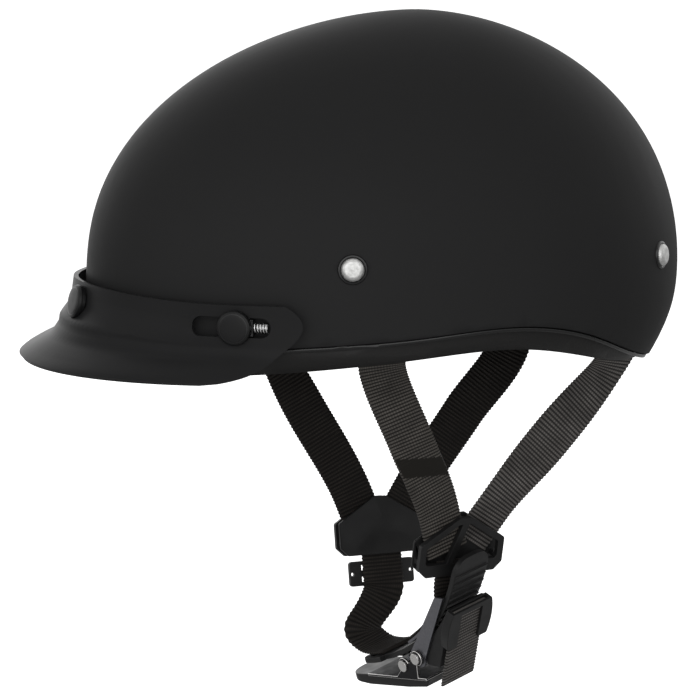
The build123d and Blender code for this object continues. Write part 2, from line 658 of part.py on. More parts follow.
def ring_band(inner, outer, start, end):
    """A stretch of a ring about the tongue's centre."""
    with BuildSketch() as area:
        with BuildLine():
            near = CenterArc(TONGUE_CENTRE, inner, start, end - start)
            far = CenterArc(TONGUE_CENTRE, outer, start, end - start)
            Line(near @ 0, far @ 0)
            Line(near @ 1, far @ 1)
        make_face()
    return area.sketch


def outline(shares, size):
    """A flat outline whose points are shares of one size."""
    with BuildSketch() as area:
        Polygon(*[(x * size, y * size) for x, y in shares], align=None)
    return area.sketch


# Chin straps: down from each divider to the buckle, behind its tongue
def chin_station(radius, angle, lean):
    """A station of a chin strap on a ring about the tongue's centre."""
    return (ring_plane(radius, angle).origin, buckle_plane.z_dir * lean)


chin_depth = DIVIDER_THICKNESS / 2 - DIVIDER_FRAME - LAYER_PITCH


def divider_stations(plane, *drops):
    """Stations of a chin strap inside a divider's base and at each drop straight under it."""
    spots = [DIVIDER_BASE_BAR - FIT_GAP * 2] + [-drop for drop in drops]
    return [
        (plane.from_local_coords(Vector(0, y - DIVIDER_HEIGHT / 2, chin_depth)), plane.x_dir) for y in spots
    ]


strap_radius = tongue_inner - TONGUE_GAP - CHANNEL_WALL - FIT_GAP - WEBBING_THICKNESS / 2
with BuildPart() as left_chin_strap:
    add(webbing(
        divider_stations(left_divider_plane, STRAP_LEAD)
        + [chin_station(strap_radius, angle, -1) for angle in LEFT_CHIN_ANGLES]
    ))
finish(left_chin_strap, "left_chin_strap")

base_radius = tongue_inner - FIT_GAP - WEBBING_THICKNESS / 2
with BuildPart() as right_chin_strap:
    add(webbing(
        divider_stations(right_divider_plane, SLIDER_DROP, SLIDER_DROP + SLIDER_HEIGHT / 2)
        + [chin_station(base_radius - drop, angle, 1) for drop, angle in RIGHT_CHIN_TURNS]
    ))
finish(right_chin_strap, "right_chin_strap")

slider_depth = chin_depth + WEBBING_THICKNESS / 2 + FIT_GAP + SLIDER_THICKNESS
slider_spot = Vector(0, -DIVIDER_HEIGHT / 2 - SLIDER_DROP, slider_depth)
slider_plane = Plane(
    origin=right_divider_plane.from_local_coords(slider_spot),
    x_dir=right_divider_plane.x_dir, z_dir=right_divider_plane.z_dir,
)
with BuildPart() as right_slider:
    with BuildSketch(slider_plane):
        RectangleRounded(SLIDER_WIDTH, SLIDER_HEIGHT, DIVIDER_CORNER)
        with GridLocations(0, SLIDER_BAR + SLIDER_SLOT, 1, 2):
            Rectangle(WEBBING_WIDTH, SLIDER_SLOT, mode=Mode.SUBTRACT)
        with GridLocations(SLIDER_WIDTH - SLIDER_BAR, 0, 2, 1):
            Circle(SLIDER_HOLE, mode=Mode.SUBTRACT)
    extrude(amount=-SLIDER_THICKNESS)
finish(right_slider, "right_slider")

# Tongue: a curved strip with ratchet teeth outside, a rounded tip and a slotted base
with BuildPart() as ratchet_tongue:
    with BuildSketch(buckle_plane):
        add(ring_band(tongue_inner, tongue_outer, TONGUE_BASE_ANGLE, TONGUE_TIP_ANGLE))
    extrude(amount=TONGUE_WIDTH / 2, both=True)
    tip_axis = Axis(buckle_plane.origin, ring_plane(TONGUE_RADIUS, TONGUE_TIP_ANGLE).z_dir)
    fillet(ratchet_tongue.edges().filter_by(tip_axis), TONGUE_TIP_CORNER)
    with BuildSketch(buckle_plane):
        add(ring_band(tongue_inner, tongue_outer, TONGUE_BASE_ANGLE, base_top_angle))
    extrude(amount=BASE_WIDTH / 2, both=True)
    base_axis = Axis(buckle_plane.origin, ring_plane(TONGUE_RADIUS, TONGUE_BASE_ANGLE).z_dir)
    fillet(ratchet_tongue.edges().filter_by(base_axis), BASE_CORNER)
    with BuildSketch(ring_plane(TONGUE_RADIUS, TONGUE_BASE_ANGLE + BASE_ANGLE / 3)):
        Rectangle(WEBBING_WIDTH + 2 * FIT_GAP, BASE_SLOT)
    extrude(amount=TONGUE_THICKNESS, both=True, mode=Mode.SUBTRACT)
    tooth_angle = degrees(TOOTH_PITCH / tongue_outer)
    first_angle = TONGUE_TIP_ANGLE - degrees(TOOTH_START / tongue_outer)
    for i in range(TOOTH_COUNT):
        start = first_angle - i * tooth_angle
        with BuildSketch(buckle_plane):
            Polygon(
                ring_point(TONGUE_RADIUS, start), ring_point(crest_radius, start),
                ring_point(tongue_outer, start - tooth_angle * TOOTH_SHARE),
                ring_point(TONGUE_RADIUS, start - tooth_angle * TOOTH_SHARE), align=None,
            )
        extrude(amount=TONGUE_WIDTH / 2 - TOOTH_INSET, both=True)
finish(ratchet_tongue, "ratchet_tongue")

# Channel: a steel trough behind the tongue, with a cheek on each side that carries the pivot
cheek_inner = TONGUE_WIDTH / 2 + TONGUE_SIDE_CLEARANCE
cheek_outer = cheek_inner + CHANNEL_WALL
channel_radius = tongue_inner - TONGUE_GAP
with BuildPart() as buckle_channel:
    with BuildSketch(buckle_plane):
        add(ring_band(channel_radius - CHANNEL_WALL, channel_radius, CHANNEL_LOW_ANGLE, CHANNEL_TOP_ANGLE))
    extrude(amount=cheek_outer, both=True)
    with BuildSketch(buckle_plane.offset(cheek_inner), buckle_plane.offset(-cheek_outer)):
        add(outline(CHEEK_SHARES, CHEEK_HEIGHT))
        Circle(CHEEK_FOOT_RADIUS)
    extrude(amount=CHANNEL_WALL)
    with BuildSketch(buckle_plane):
        Circle(PIN_RADIUS + PIN_CLEARANCE)
    extrude(amount=cheek_outer, both=True, mode=Mode.SUBTRACT)
finish(buckle_channel, "buckle_channel")

# Frame: the moulded body in front of the tongue, with the tray that holds the strap's tail
frame_half = cheek_inner - RIVET_CLEARANCE
tray_rise = Vector(TRAY_TOP_A - TRAY_FOOT_A, TRAY_TOP_B - TRAY_FOOT_B)
tray_length = tray_rise.length
tray_middle = buckle_plane.from_local_coords(
    Vector((TRAY_TOP_A + TRAY_FOOT_A) / 2, (TRAY_TOP_B + TRAY_FOOT_B) / 2, 0)
)
tray_up = buckle_plane.x_dir * tray_rise.X + buckle_plane.y_dir * tray_rise.Y
tray_plane = Plane(
    origin=tray_middle, x_dir=buckle_plane.z_dir * -1, z_dir=tray_up.cross(buckle_plane.z_dir)
)
lip_half = frame_half - RAIL_LIP
tray_top = tray_length / 2
rail_base = tray_top - RAIL_LENGTH
lip_depth = TRAY_FLOOR + WEBBING_THICKNESS + 2 * FIT_GAP
with BuildPart() as buckle_frame:
    with BuildSketch(buckle_plane):
        with BuildLine():
            foot_angle = -degrees(acos((FRAME_PIVOT_GAP - TONGUE_CENTRE_A) / (crest_radius + TONGUE_GAP)))
            top_angle = -degrees(asin((TONGUE_CENTRE_B - TRAY_TOP_B) / (crest_radius + TONGUE_GAP)))
            back = CenterArc(TONGUE_CENTRE, crest_radius + TONGUE_GAP, foot_angle, top_angle - foot_angle)
            Polyline(
                back @ 1, (TRAY_TOP_A, TRAY_TOP_B), (TRAY_FOOT_A, TRAY_FOOT_B),
                (FRAME_PIVOT_GAP, TRAY_FOOT_B), back @ 0,
            )
        make_face()
    extrude(amount=frame_half, both=True)
    with BuildSketch(tray_plane):
        with BuildLine():
            right = ThreePointArc(
                (frame_half + RAIL_WALL, rail_base),
                (frame_half + RAIL_WALL + RAIL_BULGE, tray_top - RAIL_LENGTH / 2),
                (frame_half + RAIL_WALL, tray_top),
            )
            left = ThreePointArc(
                (-frame_half - RAIL_WALL, rail_base),
                (-frame_half - RAIL_WALL - RAIL_BULGE, tray_top - RAIL_LENGTH / 2),
                (-frame_half - RAIL_WALL, tray_top),
            )
            Line(right @ 0, left @ 0)
            Line(right @ 1, left @ 1)
        tray_face = make_face()
    extrude(amount=lip_depth + LIP_THICKNESS)
    with BuildSketch(tray_plane.offset(TRAY_FLOOR)):
        with Locations((0, tray_top - RAIL_LENGTH / 2)):
            Rectangle(2 * frame_half, RAIL_LENGTH * 2)
    extrude(amount=lip_depth - TRAY_FLOOR, mode=Mode.SUBTRACT)
    with BuildSketch(tray_plane.offset(lip_depth)):
        with Locations((0, tray_top - KEEPER_BAR - RAIL_LENGTH / 2)):
            Rectangle(2 * lip_half, RAIL_LENGTH)
    extrude(amount=LIP_THICKNESS, mode=Mode.SUBTRACT)
finish(buckle_frame, "buckle_frame")

tail_depth = TRAY_FLOOR + FIT_GAP + WEBBING_THICKNESS / 2
tail_stations = (tray_top - KEEPER_BAR / 2, rail_base, -tray_top - TAIL_DROP)
with BuildPart() as strap_tail:
    add(webbing([
        (tray_plane.from_local_coords(Vector(0, y, tail_depth)), tray_plane.x_dir) for y in tail_stations
    ]))
finish(strap_tail, "strap_tail")

# Pins: the pivot through the cheeks and the lever's ears, and the pawl's pin through the ears
ear_inner = cheek_outer + EAR_GAP
ear_outer = ear_inner + EAR_WALL
pin_half = ear_outer + RIVET_CLEARANCE


def headed_pin(centre):
    """A pin across the buckle with a flat head on each end."""
    with BuildPart() as pin:
        with BuildSketch(buckle_plane):
            with Locations(centre):
                Circle(PIN_RADIUS)
        extrude(amount=pin_half, both=True)
        with BuildSketch(buckle_plane.offset(pin_half), buckle_plane.offset(-pin_half - PIN_HEAD_HEIGHT)):
            with Locations(centre):
                Circle(PIN_HEAD_RADIUS)
        extrude(amount=PIN_HEAD_HEIGHT)
    return pin


finish(headed_pin((0, 0)), "pivot_pin")
finish(headed_pin(PAWL_PIN), "pawl_pin")

# Lever: a bent steel plate with two ears, and a moulded paddle under it
slope = radians(LEVER_SLOPE)
lever_plane = Plane(
    origin=buckle_plane.from_local_coords(Vector(FRAME_PIVOT_GAP, LEVER_TOP_B, 0)),
    x_dir=buckle_plane.x_dir * cos(slope) + buckle_plane.y_dir * sin(slope), z_dir=buckle_plane.z_dir,
)
ear_right = buckle_plane.to_local_coords(
    lever_plane.from_local_coords(Vector(-EAR_INSET, -PLATE_THICKNESS, 0))
)
ear_left = buckle_plane.to_local_coords(
    lever_plane.from_local_coords(Vector(-EAR_INSET - EAR_FOOT, -PLATE_THICKNESS, 0))
)
with BuildPart() as lever_plate:
    with BuildSketch(lever_plane):
        with Locations((-PLATE_REACH / 2, -PLATE_THICKNESS / 2)):
            Rectangle(PLATE_REACH, PLATE_THICKNESS)
    extrude(amount=ear_outer, both=True)
    with BuildSketch(buckle_plane.offset(ear_inner), buckle_plane.offset(-ear_outer)):
        Circle(EAR_RADIUS)
        with Locations(PAWL_PIN):
            Circle(EAR_RADIUS)
        Polygon((0, 0), (ear_right.X, ear_right.Y), (ear_left.X, ear_left.Y), PAWL_PIN, align=None)
    extrude(amount=EAR_WALL)
    with BuildSketch(buckle_plane):
        with Locations((0, 0), PAWL_PIN):
            Circle(PIN_RADIUS + PIN_CLEARANCE)
    extrude(amount=ear_outer, both=True, mode=Mode.SUBTRACT)
finish(lever_plate, "lever_plate")

paddle_top = Plane(origin=lever_plane.origin, x_dir=lever_plane.x_dir, z_dir=lever_plane.y_dir)
with BuildPart() as release_lever:
    with BuildSketch(lever_plane):
        Polygon(
            (0, -PLATE_THICKNESS), (-PLATE_REACH, -PLATE_THICKNESS),
            *[(x * LEVER_REACH, y * LEVER_DEPTH) for x, y in PADDLE_SHARES], align=None,
        )
    extrude(amount=LEVER_WIDTH / 2, both=True)
    with BuildSketch(paddle_top):
        with Locations((-LEVER_REACH / 2 + LEVER_END_RADIUS, 0)):
            RectangleRounded(LEVER_REACH + LEVER_END_RADIUS * 2, LEVER_WIDTH, LEVER_END_RADIUS)
    extrude(amount=LEVER_REACH, both=True, mode=Mode.INTERSECT)
finish(release_lever, "release_lever")

# Pawl: a barrel on its pin, with a nose that points at the tongue's centre
nose_reach = hypot(PAWL_PIN_A - TONGUE_CENTRE_A, PAWL_PIN_B - TONGUE_CENTRE_B) - crest_radius - PAWL_GAP
nose_angle = atan2(TONGUE_CENTRE_B - PAWL_PIN_B, TONGUE_CENTRE_A - PAWL_PIN_A)
with BuildPart() as pawl:
    with BuildSketch(buckle_plane):
        with Locations(PAWL_PIN):
            Circle(PAWL_RADIUS)
            Polygon(
                *[
                    (reach * cos(nose_angle + turn), reach * sin(nose_angle + turn))
                    for reach, turn in ((PAWL_RADIUS, pi / 3), (PAWL_RADIUS, -pi / 3), (nose_reach, 0))
                ],
                align=None,
            )
            Circle(PIN_RADIUS + PIN_CLEARANCE, mode=Mode.SUBTRACT)
    extrude(amount=PAWL_WIDTH / 2, both=True)
finish(pawl, "pawl")


def coil(plane, radius, wire, pitch, turns):
    """A round wire wound along a plane's normal, in quarter turns of two tangent arcs each."""
    quarters = round(turns * 4)

    def spot(i):
        angle = i * pi / 2
        return plane.from_local_coords(Vector(radius * cos(angle), radius * sin(angle), pitch * i / 4))

    def heading(i):
        angle = i * pi / 2
        ahead = Vector(-radius * sin(angle), radius * cos(angle), pitch / (2 * pi))
        return (plane.from_local_coords(ahead) - plane.origin).normalized()

    with BuildPart() as spring:
        with BuildLine() as path:
            Line(spot(0) - heading(0) * wire, spot(0))
            for i in range(quarters):
                start, end, first, last = spot(i), spot(i + 1), heading(i), heading(i + 1)
                chord = end - start
                a, b, c = 2 * (1 - first.dot(last)), 2 * chord.dot(first + last), -chord.dot(chord)
                reach = (-b + sqrt(b * b - 4 * a * c)) / (2 * a)
                from_start, from_end = start + first * reach, end - last * reach
                middle = (from_start + from_end) / 2
                TangentArc(start, middle, tangent=first)
                TangentArc(middle, end, tangent=from_end - from_start)
            Line(spot(quarters), spot(quarters) + heading(quarters) * wire)
        with BuildSketch(Plane(origin=path.line @ 0, z_dir=heading(0))):
            Circle(wire / 2)
        sweep()
    pairs = [(i, j) for i in range(quarters) for j in range(i + 4, quarters + 1)]
    gap = min((spot(i) - spot(j)).length for i, j in pairs) - wire
    print(f"coil of {turns} turns: least gap to itself {gap:.2f}")
    return spring.part


with BuildPart() as lever_spring:
    add(coil(
        buckle_plane.offset(-SPRING_PITCH * SPRING_TURNS / 2), SPRING_RADIUS, SPRING_WIRE, SPRING_PITCH,
        SPRING_TURNS,
    ))
finish(lever_spring, "lever_spring")


# Visor: a sheet that follows the shell in plan, level round its snaps and flared below them
def visor_section(angle):
    """Upright section of the visor's sheet at an angle off straight ahead."""
    across, along = sin(radians(angle)), cos(radians(angle))
    half = SHELL_WIDTH / 2
    reach = 1 / hypot(across / half, along / FRONT_LENGTH)
    slant = 1 / (reach ** 2 * hypot(across / half ** 2, along / FRONT_LENGTH ** 2))
    ahead = cos(radians(90 * min(abs(angle) / VISOR_FRONT_ANGLE, 1))) ** 2
    flared = cos(radians(90 * min(abs(angle) / VISOR_SPAN, 1))) ** FLARE_POWER_SHARE
    lean, tip_lean = radians(FRONT_LEAN * ahead), radians(ARM_TIP_LEAN + (TIP_LEAN - ARM_TIP_LEAN) * flared)
    band = ARM_BAND + (FRONT_BAND - ARM_BAND) * ahead
    top = Vector(reach + STANDOFF / slant, VISOR_TOP_Z + VISOR_PEAK_RISE * ahead)
    bend = top + Vector(sin(lean), -cos(lean)) * band
    tip = Vector(top.X + ARM_FLARE + (VISOR_FLARE - ARM_FLARE) * flared, VISOR_LIP_Z)
    handle = (tip - bend).length * FLARE_HANDLE_SHARE
    flat, steep = Vector(cos(lean), sin(lean)), Vector(cos(tip_lean), sin(tip_lean))
    near = (top, bend, bend + Vector(sin(lean), -cos(lean)) * handle,
            tip - Vector(sin(tip_lean), -cos(tip_lean)) * handle, tip)
    away = (flat, flat, flat, steep, steep)
    far = [point + direction * VISOR_SHEET for point, direction in zip(near, away)]
    plane = Plane(origin=(0, WIDEST_Y, 0), x_dir=(across, -along, 0), z_dir=(-along, -across, 0))
    with BuildSketch(plane) as section:
        with BuildLine():
            Line(near[0], near[1])
            Bezier(*near[1:])
            Line(near[4], far[4])
            Bezier(*far[:0:-1])
            Line(far[1], far[0])
            Line(far[0], near[0])
        make_face()
    return section.sketch


with BuildPart() as visor_sheet:
    for i in range(VISOR_STEPS + 1):
        add(visor_section(VISOR_SPAN * (2 * i / VISOR_STEPS - 1)))
    loft()

arm_points = [
    (WIDEST_Y - y * FRONT_LENGTH, z * VISOR_TOP_Z) for y, z in zip(ARM_Y_SHARES, ARM_Z_SHARES)
]
ahead_y = WIDEST_Y - FRONT_LENGTH - VISOR_FLARE - OVERRUN
with BuildPart() as visor_keep:
    with BuildSketch(Plane.YZ):
        with BuildLine():
            arm_end = Spline(*arm_points)
            Polyline(
                arm_end @ 1, (arm_points[-1][0], -OVERRUN), (ahead_y, -OVERRUN),
                (ahead_y, VISOR_TOP_Z + OVERRUN), (arm_points[0][0], VISOR_TOP_Z + OVERRUN), arm_end @ 0,
            )
        make_face()
    extrude(amount=SHELL_WIDTH, both=True)

SHEET_MIDDLE = STANDOFF + VISOR_SHEET / 2
front_drop = VISOR_TOP_Z + VISOR_PEAK_RISE - FRONT_SNAP_Z
front_away = STANDOFF + front_drop * tan(radians(FRONT_LEAN)) + VISOR_SHEET / 2 / cos(radians(FRONT_LEAN))
front_sheet_plane = Plane(
    origin=front_snap_plane.origin - Vector(0, front_away, 0), x_dir=(1, 0, 0),
    z_dir=(0, -cos(radians(FRONT_LEAN)), sin(radians(FRONT_LEAN))),
)
side_sheet_planes = [
    level_plane(plane, side).offset(SHEET_MIDDLE) for plane, side in zip(side_snap_planes, SIDES)
]
slot_reach = SHOE_RADIUS + SHOE_CLEARANCE
with BuildPart() as visor:
    add(visor_sheet.part)
    add(visor_keep.part, mode=Mode.INTERSECT)
    with BuildSketch(*side_sheet_planes):
        with Locations((-SLOT_LEAD, 0)):
            SlotOverall(SLOT_LENGTH, SLOT_WIDTH)
    extrude(amount=SHEET_MIDDLE, both=True, mode=Mode.SUBTRACT)
    with BuildSketch(front_sheet_plane):
        Circle(slot_reach)
    extrude(amount=SHEET_MIDDLE, both=True, mode=Mode.SUBTRACT)
finish(visor, "visor")

# Snaps: three studs on the shell, and on the visor a cap outside and a socket inside at each
with BuildPart() as snap_studs:
    with BuildSketch(*[plane.offset(-SHELL_WALL - SURFACE_GAP - STUD_BACK) for plane in snap_planes]):
        Circle(STUD_BACK_RADIUS)
    extrude(amount=STUD_BACK)
    with BuildSketch(*[plane.offset(-SHELL_WALL - SURFACE_GAP) for plane in snap_planes]):
        Circle(STUD_SHANK_RADIUS)
    extrude(amount=SHELL_WALL + 2 * SURFACE_GAP)
    with BuildSketch(*[plane.offset(SURFACE_GAP) for plane in snap_planes]):
        Circle(STUD_FLANGE_RADIUS)
    extrude(amount=STUD_FLANGE)
    with BuildSketch(*[plane.offset(SURFACE_GAP + STUD_FLANGE) for plane in snap_planes]):
        Circle(STUD_RADIUS)
    extrude(amount=STUD_HEIGHT, taper=STUD_TAPER)
finish(snap_studs, "snap_studs")


def make_snap(plane, name, reach=0.0):
    """A snap's cap with the shoe that runs through the sheet, and the socket behind it."""
    cap_base = VISOR_SHEET / 2 + FIT_GAP
    socket_top = -VISOR_SHEET / 2 - SOCKET_GAP
    with BuildPart() as cap:
        with BuildSketch(plane.offset(cap_base)):
            Circle(CAP_RADIUS)
        extrude(amount=CAP_THICKNESS)
        fillet(cap.faces().sort_by(Axis(plane.origin, plane.z_dir))[-1].edges(), CAP_EDGE)
        with BuildSketch(plane.offset(socket_top)):
            Circle(SHOE_RADIUS)
            if reach:
                with Locations((reach / 2, 0)):
                    Rectangle(reach, 2 * SHOE_RADIUS)
        extrude(amount=cap_base - socket_top)
    finish(cap, f"{name}_cap")
    with BuildPart() as socket:
        with BuildSketch(plane.offset(socket_top)):
            Circle(SOCKET_RADIUS)
        extrude(amount=-SOCKET_HEIGHT)
        with BuildSketch(plane.offset(socket_top - SOCKET_FLOOR)):
            Circle(SOCKET_BORE)
        extrude(amount=-SOCKET_HEIGHT, mode=Mode.SUBTRACT)
    finish(socket, f"{name}_socket")


make_snap(front_sheet_plane, "front_snap")
make_snap(side_sheet_planes[0], "left_snap", SHOE_REACH)
make_snap(side_sheet_planes[1], "right_snap", SHOE_REACH)

slot_end = SLOT_LENGTH / 2 - SLOT_LEAD
spring_start = SHOE_REACH + FIT_GAP + SLOT_SPRING_WIRE / 2
spring_turns = floor(2 * (slot_end - spring_start - SLOT_SPRING_WIRE * 2) / SLOT_SPRING_PITCH) / 2
for plane, name in zip(side_sheet_planes, ("left", "right")):
    run = Plane(origin=plane.origin + plane.x_dir * spring_start, x_dir=plane.y_dir, z_dir=plane.x_dir)
    with BuildPart() as slot_spring:
        add(coil(run, SLOT_SPRING_RADIUS, SLOT_SPRING_WIRE, SLOT_SPRING_PITCH, spring_turns))
    finish(slot_spring, f"{name}_slot_spring")
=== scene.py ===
# %% [markdown]
# # A half shell riding helmet
# This lesson dresses a measured model of a half shell helmet: a black lacquered shell, a peak held
# by snaps, ribbed webbing that meets in two strap dividers, and a ratchet buckle under the chin.
# The measured model gives every place and size. Blender adds the surfaces that an eye looks for.

# %% Load the measured model
import json
from math import atan2, cos, pi, radians, sin

import bmesh
import bpy
from mathutils import Matrix, Vector


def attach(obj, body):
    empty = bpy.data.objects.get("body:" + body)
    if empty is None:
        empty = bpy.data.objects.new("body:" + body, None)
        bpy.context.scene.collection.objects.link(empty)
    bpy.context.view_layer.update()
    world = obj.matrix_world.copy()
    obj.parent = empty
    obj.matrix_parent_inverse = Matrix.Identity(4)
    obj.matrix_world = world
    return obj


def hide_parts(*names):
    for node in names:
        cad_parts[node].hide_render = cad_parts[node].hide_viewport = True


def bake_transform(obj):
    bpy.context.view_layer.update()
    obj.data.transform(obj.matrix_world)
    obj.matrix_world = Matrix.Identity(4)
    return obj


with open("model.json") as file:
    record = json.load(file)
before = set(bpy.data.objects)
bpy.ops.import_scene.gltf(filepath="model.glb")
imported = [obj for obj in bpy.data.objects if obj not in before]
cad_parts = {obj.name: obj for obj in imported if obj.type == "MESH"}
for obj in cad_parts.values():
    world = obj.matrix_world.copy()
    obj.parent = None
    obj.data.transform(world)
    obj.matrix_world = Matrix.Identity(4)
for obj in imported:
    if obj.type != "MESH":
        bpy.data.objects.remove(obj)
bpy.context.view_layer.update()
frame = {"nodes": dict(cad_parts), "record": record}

MM = 0.001
nodes = frame["nodes"]
body_of_node = {
    node: body for body, names in frame["record"]["behaviour"]["bodies"].items() for node in names
}

# %% [markdown]
# ## Camera
# The photograph looks at the wearer's left front from just above the rim. A long lens was used, so
# the camera stands more than a metre away and the near and far straps are almost the same size.

# %% Camera
AZIMUTH, ELEVATION, DISTANCE = radians(64.608), radians(6.655), 1.3
LENS, SENSOR = 145.08, 36.0
back = Vector((sin(AZIMUTH) * cos(ELEVATION), -cos(AZIMUTH) * cos(ELEVATION), sin(ELEVATION)))
right = Vector((cos(AZIMUTH), sin(AZIMUTH), 0))
up = back.cross(right)
AIM_RIGHT, AIM_UP = -0.01711, -0.05484
MIDDLE = Vector((0, 7.41 * MM, 70 * MM))
look = -back + right * AIM_RIGHT + up * AIM_UP

camera = bpy.data.objects.new("camera", bpy.data.cameras.new("camera"))
bpy.context.scene.collection.objects.link(camera)
camera.location = MIDDLE + back * DISTANCE
camera.rotation_mode = "QUATERNION"
camera.rotation_quaternion = look.to_track_quat("-Z", "Y")
camera.data.lens, camera.data.sensor_width = LENS, SENSOR
bpy.context.scene.camera = camera
bpy.context.scene.view_settings.view_transform = "Standard"
print("camera at", [round(v, 3) for v in camera.location])

# %% [markdown]
# ## Helpers for finishes
# Every finish is made of nodes on one Principled shader. A shared helper makes the shader, and
# three small ones add what real surfaces have: a fine relief, a slow drift in the gloss, and a slow
# drift in the colour. The patterns sit on Object coordinates, so they stay on the piece.


# %% Finish helpers
def new_finish(name, colour, rough, metal=0.0, specular=0.5, sheen=0.0):
    """A Principled finish whose plain values sit on the shader's own sockets."""
    finish = bpy.data.materials.new(name)
    finish.use_nodes = True
    shader = finish.node_tree.nodes["Principled BSDF"]
    shader.inputs["Base Color"].default_value = (*colour, 1)
    shader.inputs["Roughness"].default_value = rough
    shader.inputs["Metallic"].default_value = metal
    shader.inputs["Specular IOR Level"].default_value = specular
    shader.inputs["Sheen Weight"].default_value = sheen
    return finish


def node(finish, kind, **values):
    """A new shader node with some of its inputs set by name."""
    made = finish.node_tree.nodes.new(kind)
    for key, value in values.items():
        made.inputs[key.replace("_", " ")].default_value = value
    return made


def wire(finish, out, into):
    finish.node_tree.links.new(out, into)


def place(finish, kind="Object"):
    """The coordinates that a pattern sits on."""
    return finish.node_tree.nodes.new("ShaderNodeTexCoord").outputs[kind]


def noise(finish, scale, detail=4.0, where=None):
    made = node(finish, "ShaderNodeTexNoise", Scale=scale, Detail=detail)
    wire(finish, where or place(finish), made.inputs["Vector"])
    return made.outputs["Fac"]


def spread(finish, value, low, high, start=0.3, end=0.7):
    """Stretches a pattern from start to end onto the range from low to high."""
    made = node(
        finish, "ShaderNodeMapRange", From_Min=start, From_Max=end, To_Min=low, To_Max=high
    )
    wire(finish, value, made.inputs["Value"])
    return made.outputs["Result"]


def drift_gloss(finish, scale, low, high):
    """Lets the roughness wander, as handled surfaces do."""
    shader = finish.node_tree.nodes["Principled BSDF"]
    wire(finish, spread(finish, noise(finish, scale), low, high), shader.inputs["Roughness"])


def drift_colour(finish, value, dark, light):
    """Mixes two colours by a pattern."""
    mix = finish.node_tree.nodes.new("ShaderNodeMix")
    mix.data_type = "RGBA"
    for socket in mix.inputs:
        if socket.identifier == "A_Color":
            socket.default_value = (*dark, 1)
        if socket.identifier == "B_Color":
            socket.default_value = (*light, 1)
    wire(finish, value, mix.inputs[0])
    out = next(socket for socket in mix.outputs if socket.identifier == "Result_Color")
    wire(finish, out, finish.node_tree.nodes["Principled BSDF"].inputs["Base Color"])


def relief(finish, value, strength, depth):
    """Adds a relief on top of any the finish already has."""
    shader = finish.node_tree.nodes["Principled BSDF"]
    bump = node(finish, "ShaderNodeBump", Strength=strength, Distance=depth)
    wire(finish, value, bump.inputs["Height"])
    earlier = shader.inputs["Normal"].links
    if earlier:
        wire(finish, earlier[0].from_socket, bump.inputs["Normal"])
    wire(finish, bump.outputs["Normal"], shader.inputs["Normal"])


print("finish helpers ready")

# %% [markdown]
# ## Finishes
# The shell is a semi-matte lacquer: its highlight is broad and grey, with the faint texture of
# sprayed paint. The peak is a slightly glossier sheet. The buckle mixes fine grained mouldings with
# satin steel and black coated steel. A gloss that drifts a little keeps each from looking drawn.

# %% Hard finishes
shell_finish = new_finish("shell_lacquer", (0.0215, 0.0215, 0.0217), 0.46, specular=0.018)
drift_gloss(shell_finish, 9, 0.44, 0.50)
drift_colour(
    shell_finish, noise(shell_finish, 14, 6), (0.0204, 0.0204, 0.0206), (0.0230, 0.0230, 0.0232)
)
relief(shell_finish, noise(shell_finish, 2600, 2), 0.10, 0.00004)

visor_finish = new_finish("visor_sheet_plastic", (0.0160, 0.0160, 0.0163), 0.38, specular=0.04)
drift_gloss(visor_finish, 16, 0.33, 0.40)
drift_colour(
    visor_finish, noise(visor_finish, 30, 5), (0.0145, 0.0145, 0.0148), (0.0178, 0.0178, 0.0181)
)
relief(visor_finish, noise(visor_finish, 1900, 3), 0.08, 0.00003)

gloss_finish = new_finish("polished_black", (0.006, 0.006, 0.0063), 0.16, specular=0.28)
drift_gloss(gloss_finish, 160, 0.13, 0.22)
relief(gloss_finish, noise(gloss_finish, 900, 2), 0.04, 0.00002)

cap_finish = new_finish("snap_cap_plastic", (0.0075, 0.0075, 0.0077), 0.32, specular=0.14)
drift_gloss(cap_finish, 220, 0.28, 0.42)
relief(cap_finish, noise(cap_finish, 1500, 3), 0.10, 0.00003)

moulded_finish = new_finish("buckle_moulding", (0.010, 0.010, 0.0104), 0.40, specular=0.22)
drift_gloss(moulded_finish, 120, 0.34, 0.50)
drift_colour(
    moulded_finish, noise(moulded_finish, 240, 5),
    (0.0080, 0.0080, 0.0083), (0.0135, 0.0133, 0.0133)
)
relief(moulded_finish, noise(moulded_finish, 3200, 3), 0.16, 0.00004)

foam_finish = new_finish("bead_foam", (0.014, 0.014, 0.0144), 0.75, specular=0.12)
beads = node(foam_finish, "ShaderNodeTexVoronoi", Scale=330.0)
wire(foam_finish, place(foam_finish), beads.inputs["Vector"])
relief(foam_finish, beads.outputs["Distance"], 0.5, 0.0006)
drift_colour(foam_finish, spread(foam_finish, beads.outputs["Distance"], 0, 1, 0.1, 0.8),
             (0.018, 0.018, 0.0185), (0.007, 0.007, 0.0073))

bead_finish = new_finish("edge_bead_rubber", (0.006, 0.006, 0.006), 0.22, specular=0.32)
drift_gloss(bead_finish, 70, 0.18, 0.30)
relief(bead_finish, noise(bead_finish, 800, 2), 0.06, 0.00004)

steel_finish = new_finish("buckle_steel", (0.17, 0.17, 0.19), 0.36, metal=1.0)
streaks = noise(steel_finish, 900, 3)
drift_gloss(steel_finish, 260, 0.30, 0.46)
drift_colour(steel_finish, streaks, (0.13, 0.13, 0.145), (0.21, 0.21, 0.225))
coated_finish = new_finish("black_coated_steel", (0.014, 0.014, 0.015), 0.42, specular=0.06)
drift_gloss(coated_finish, 200, 0.36, 0.50)
drift_colour(
    coated_finish, noise(coated_finish, 300, 5), (0.010, 0.010, 0.011), (0.020, 0.020, 0.022)
)
relief(coated_finish, noise(coated_finish, 2400, 3), 0.12, 0.00003)
relief(steel_finish, streaks, 0.12, 0.00002)

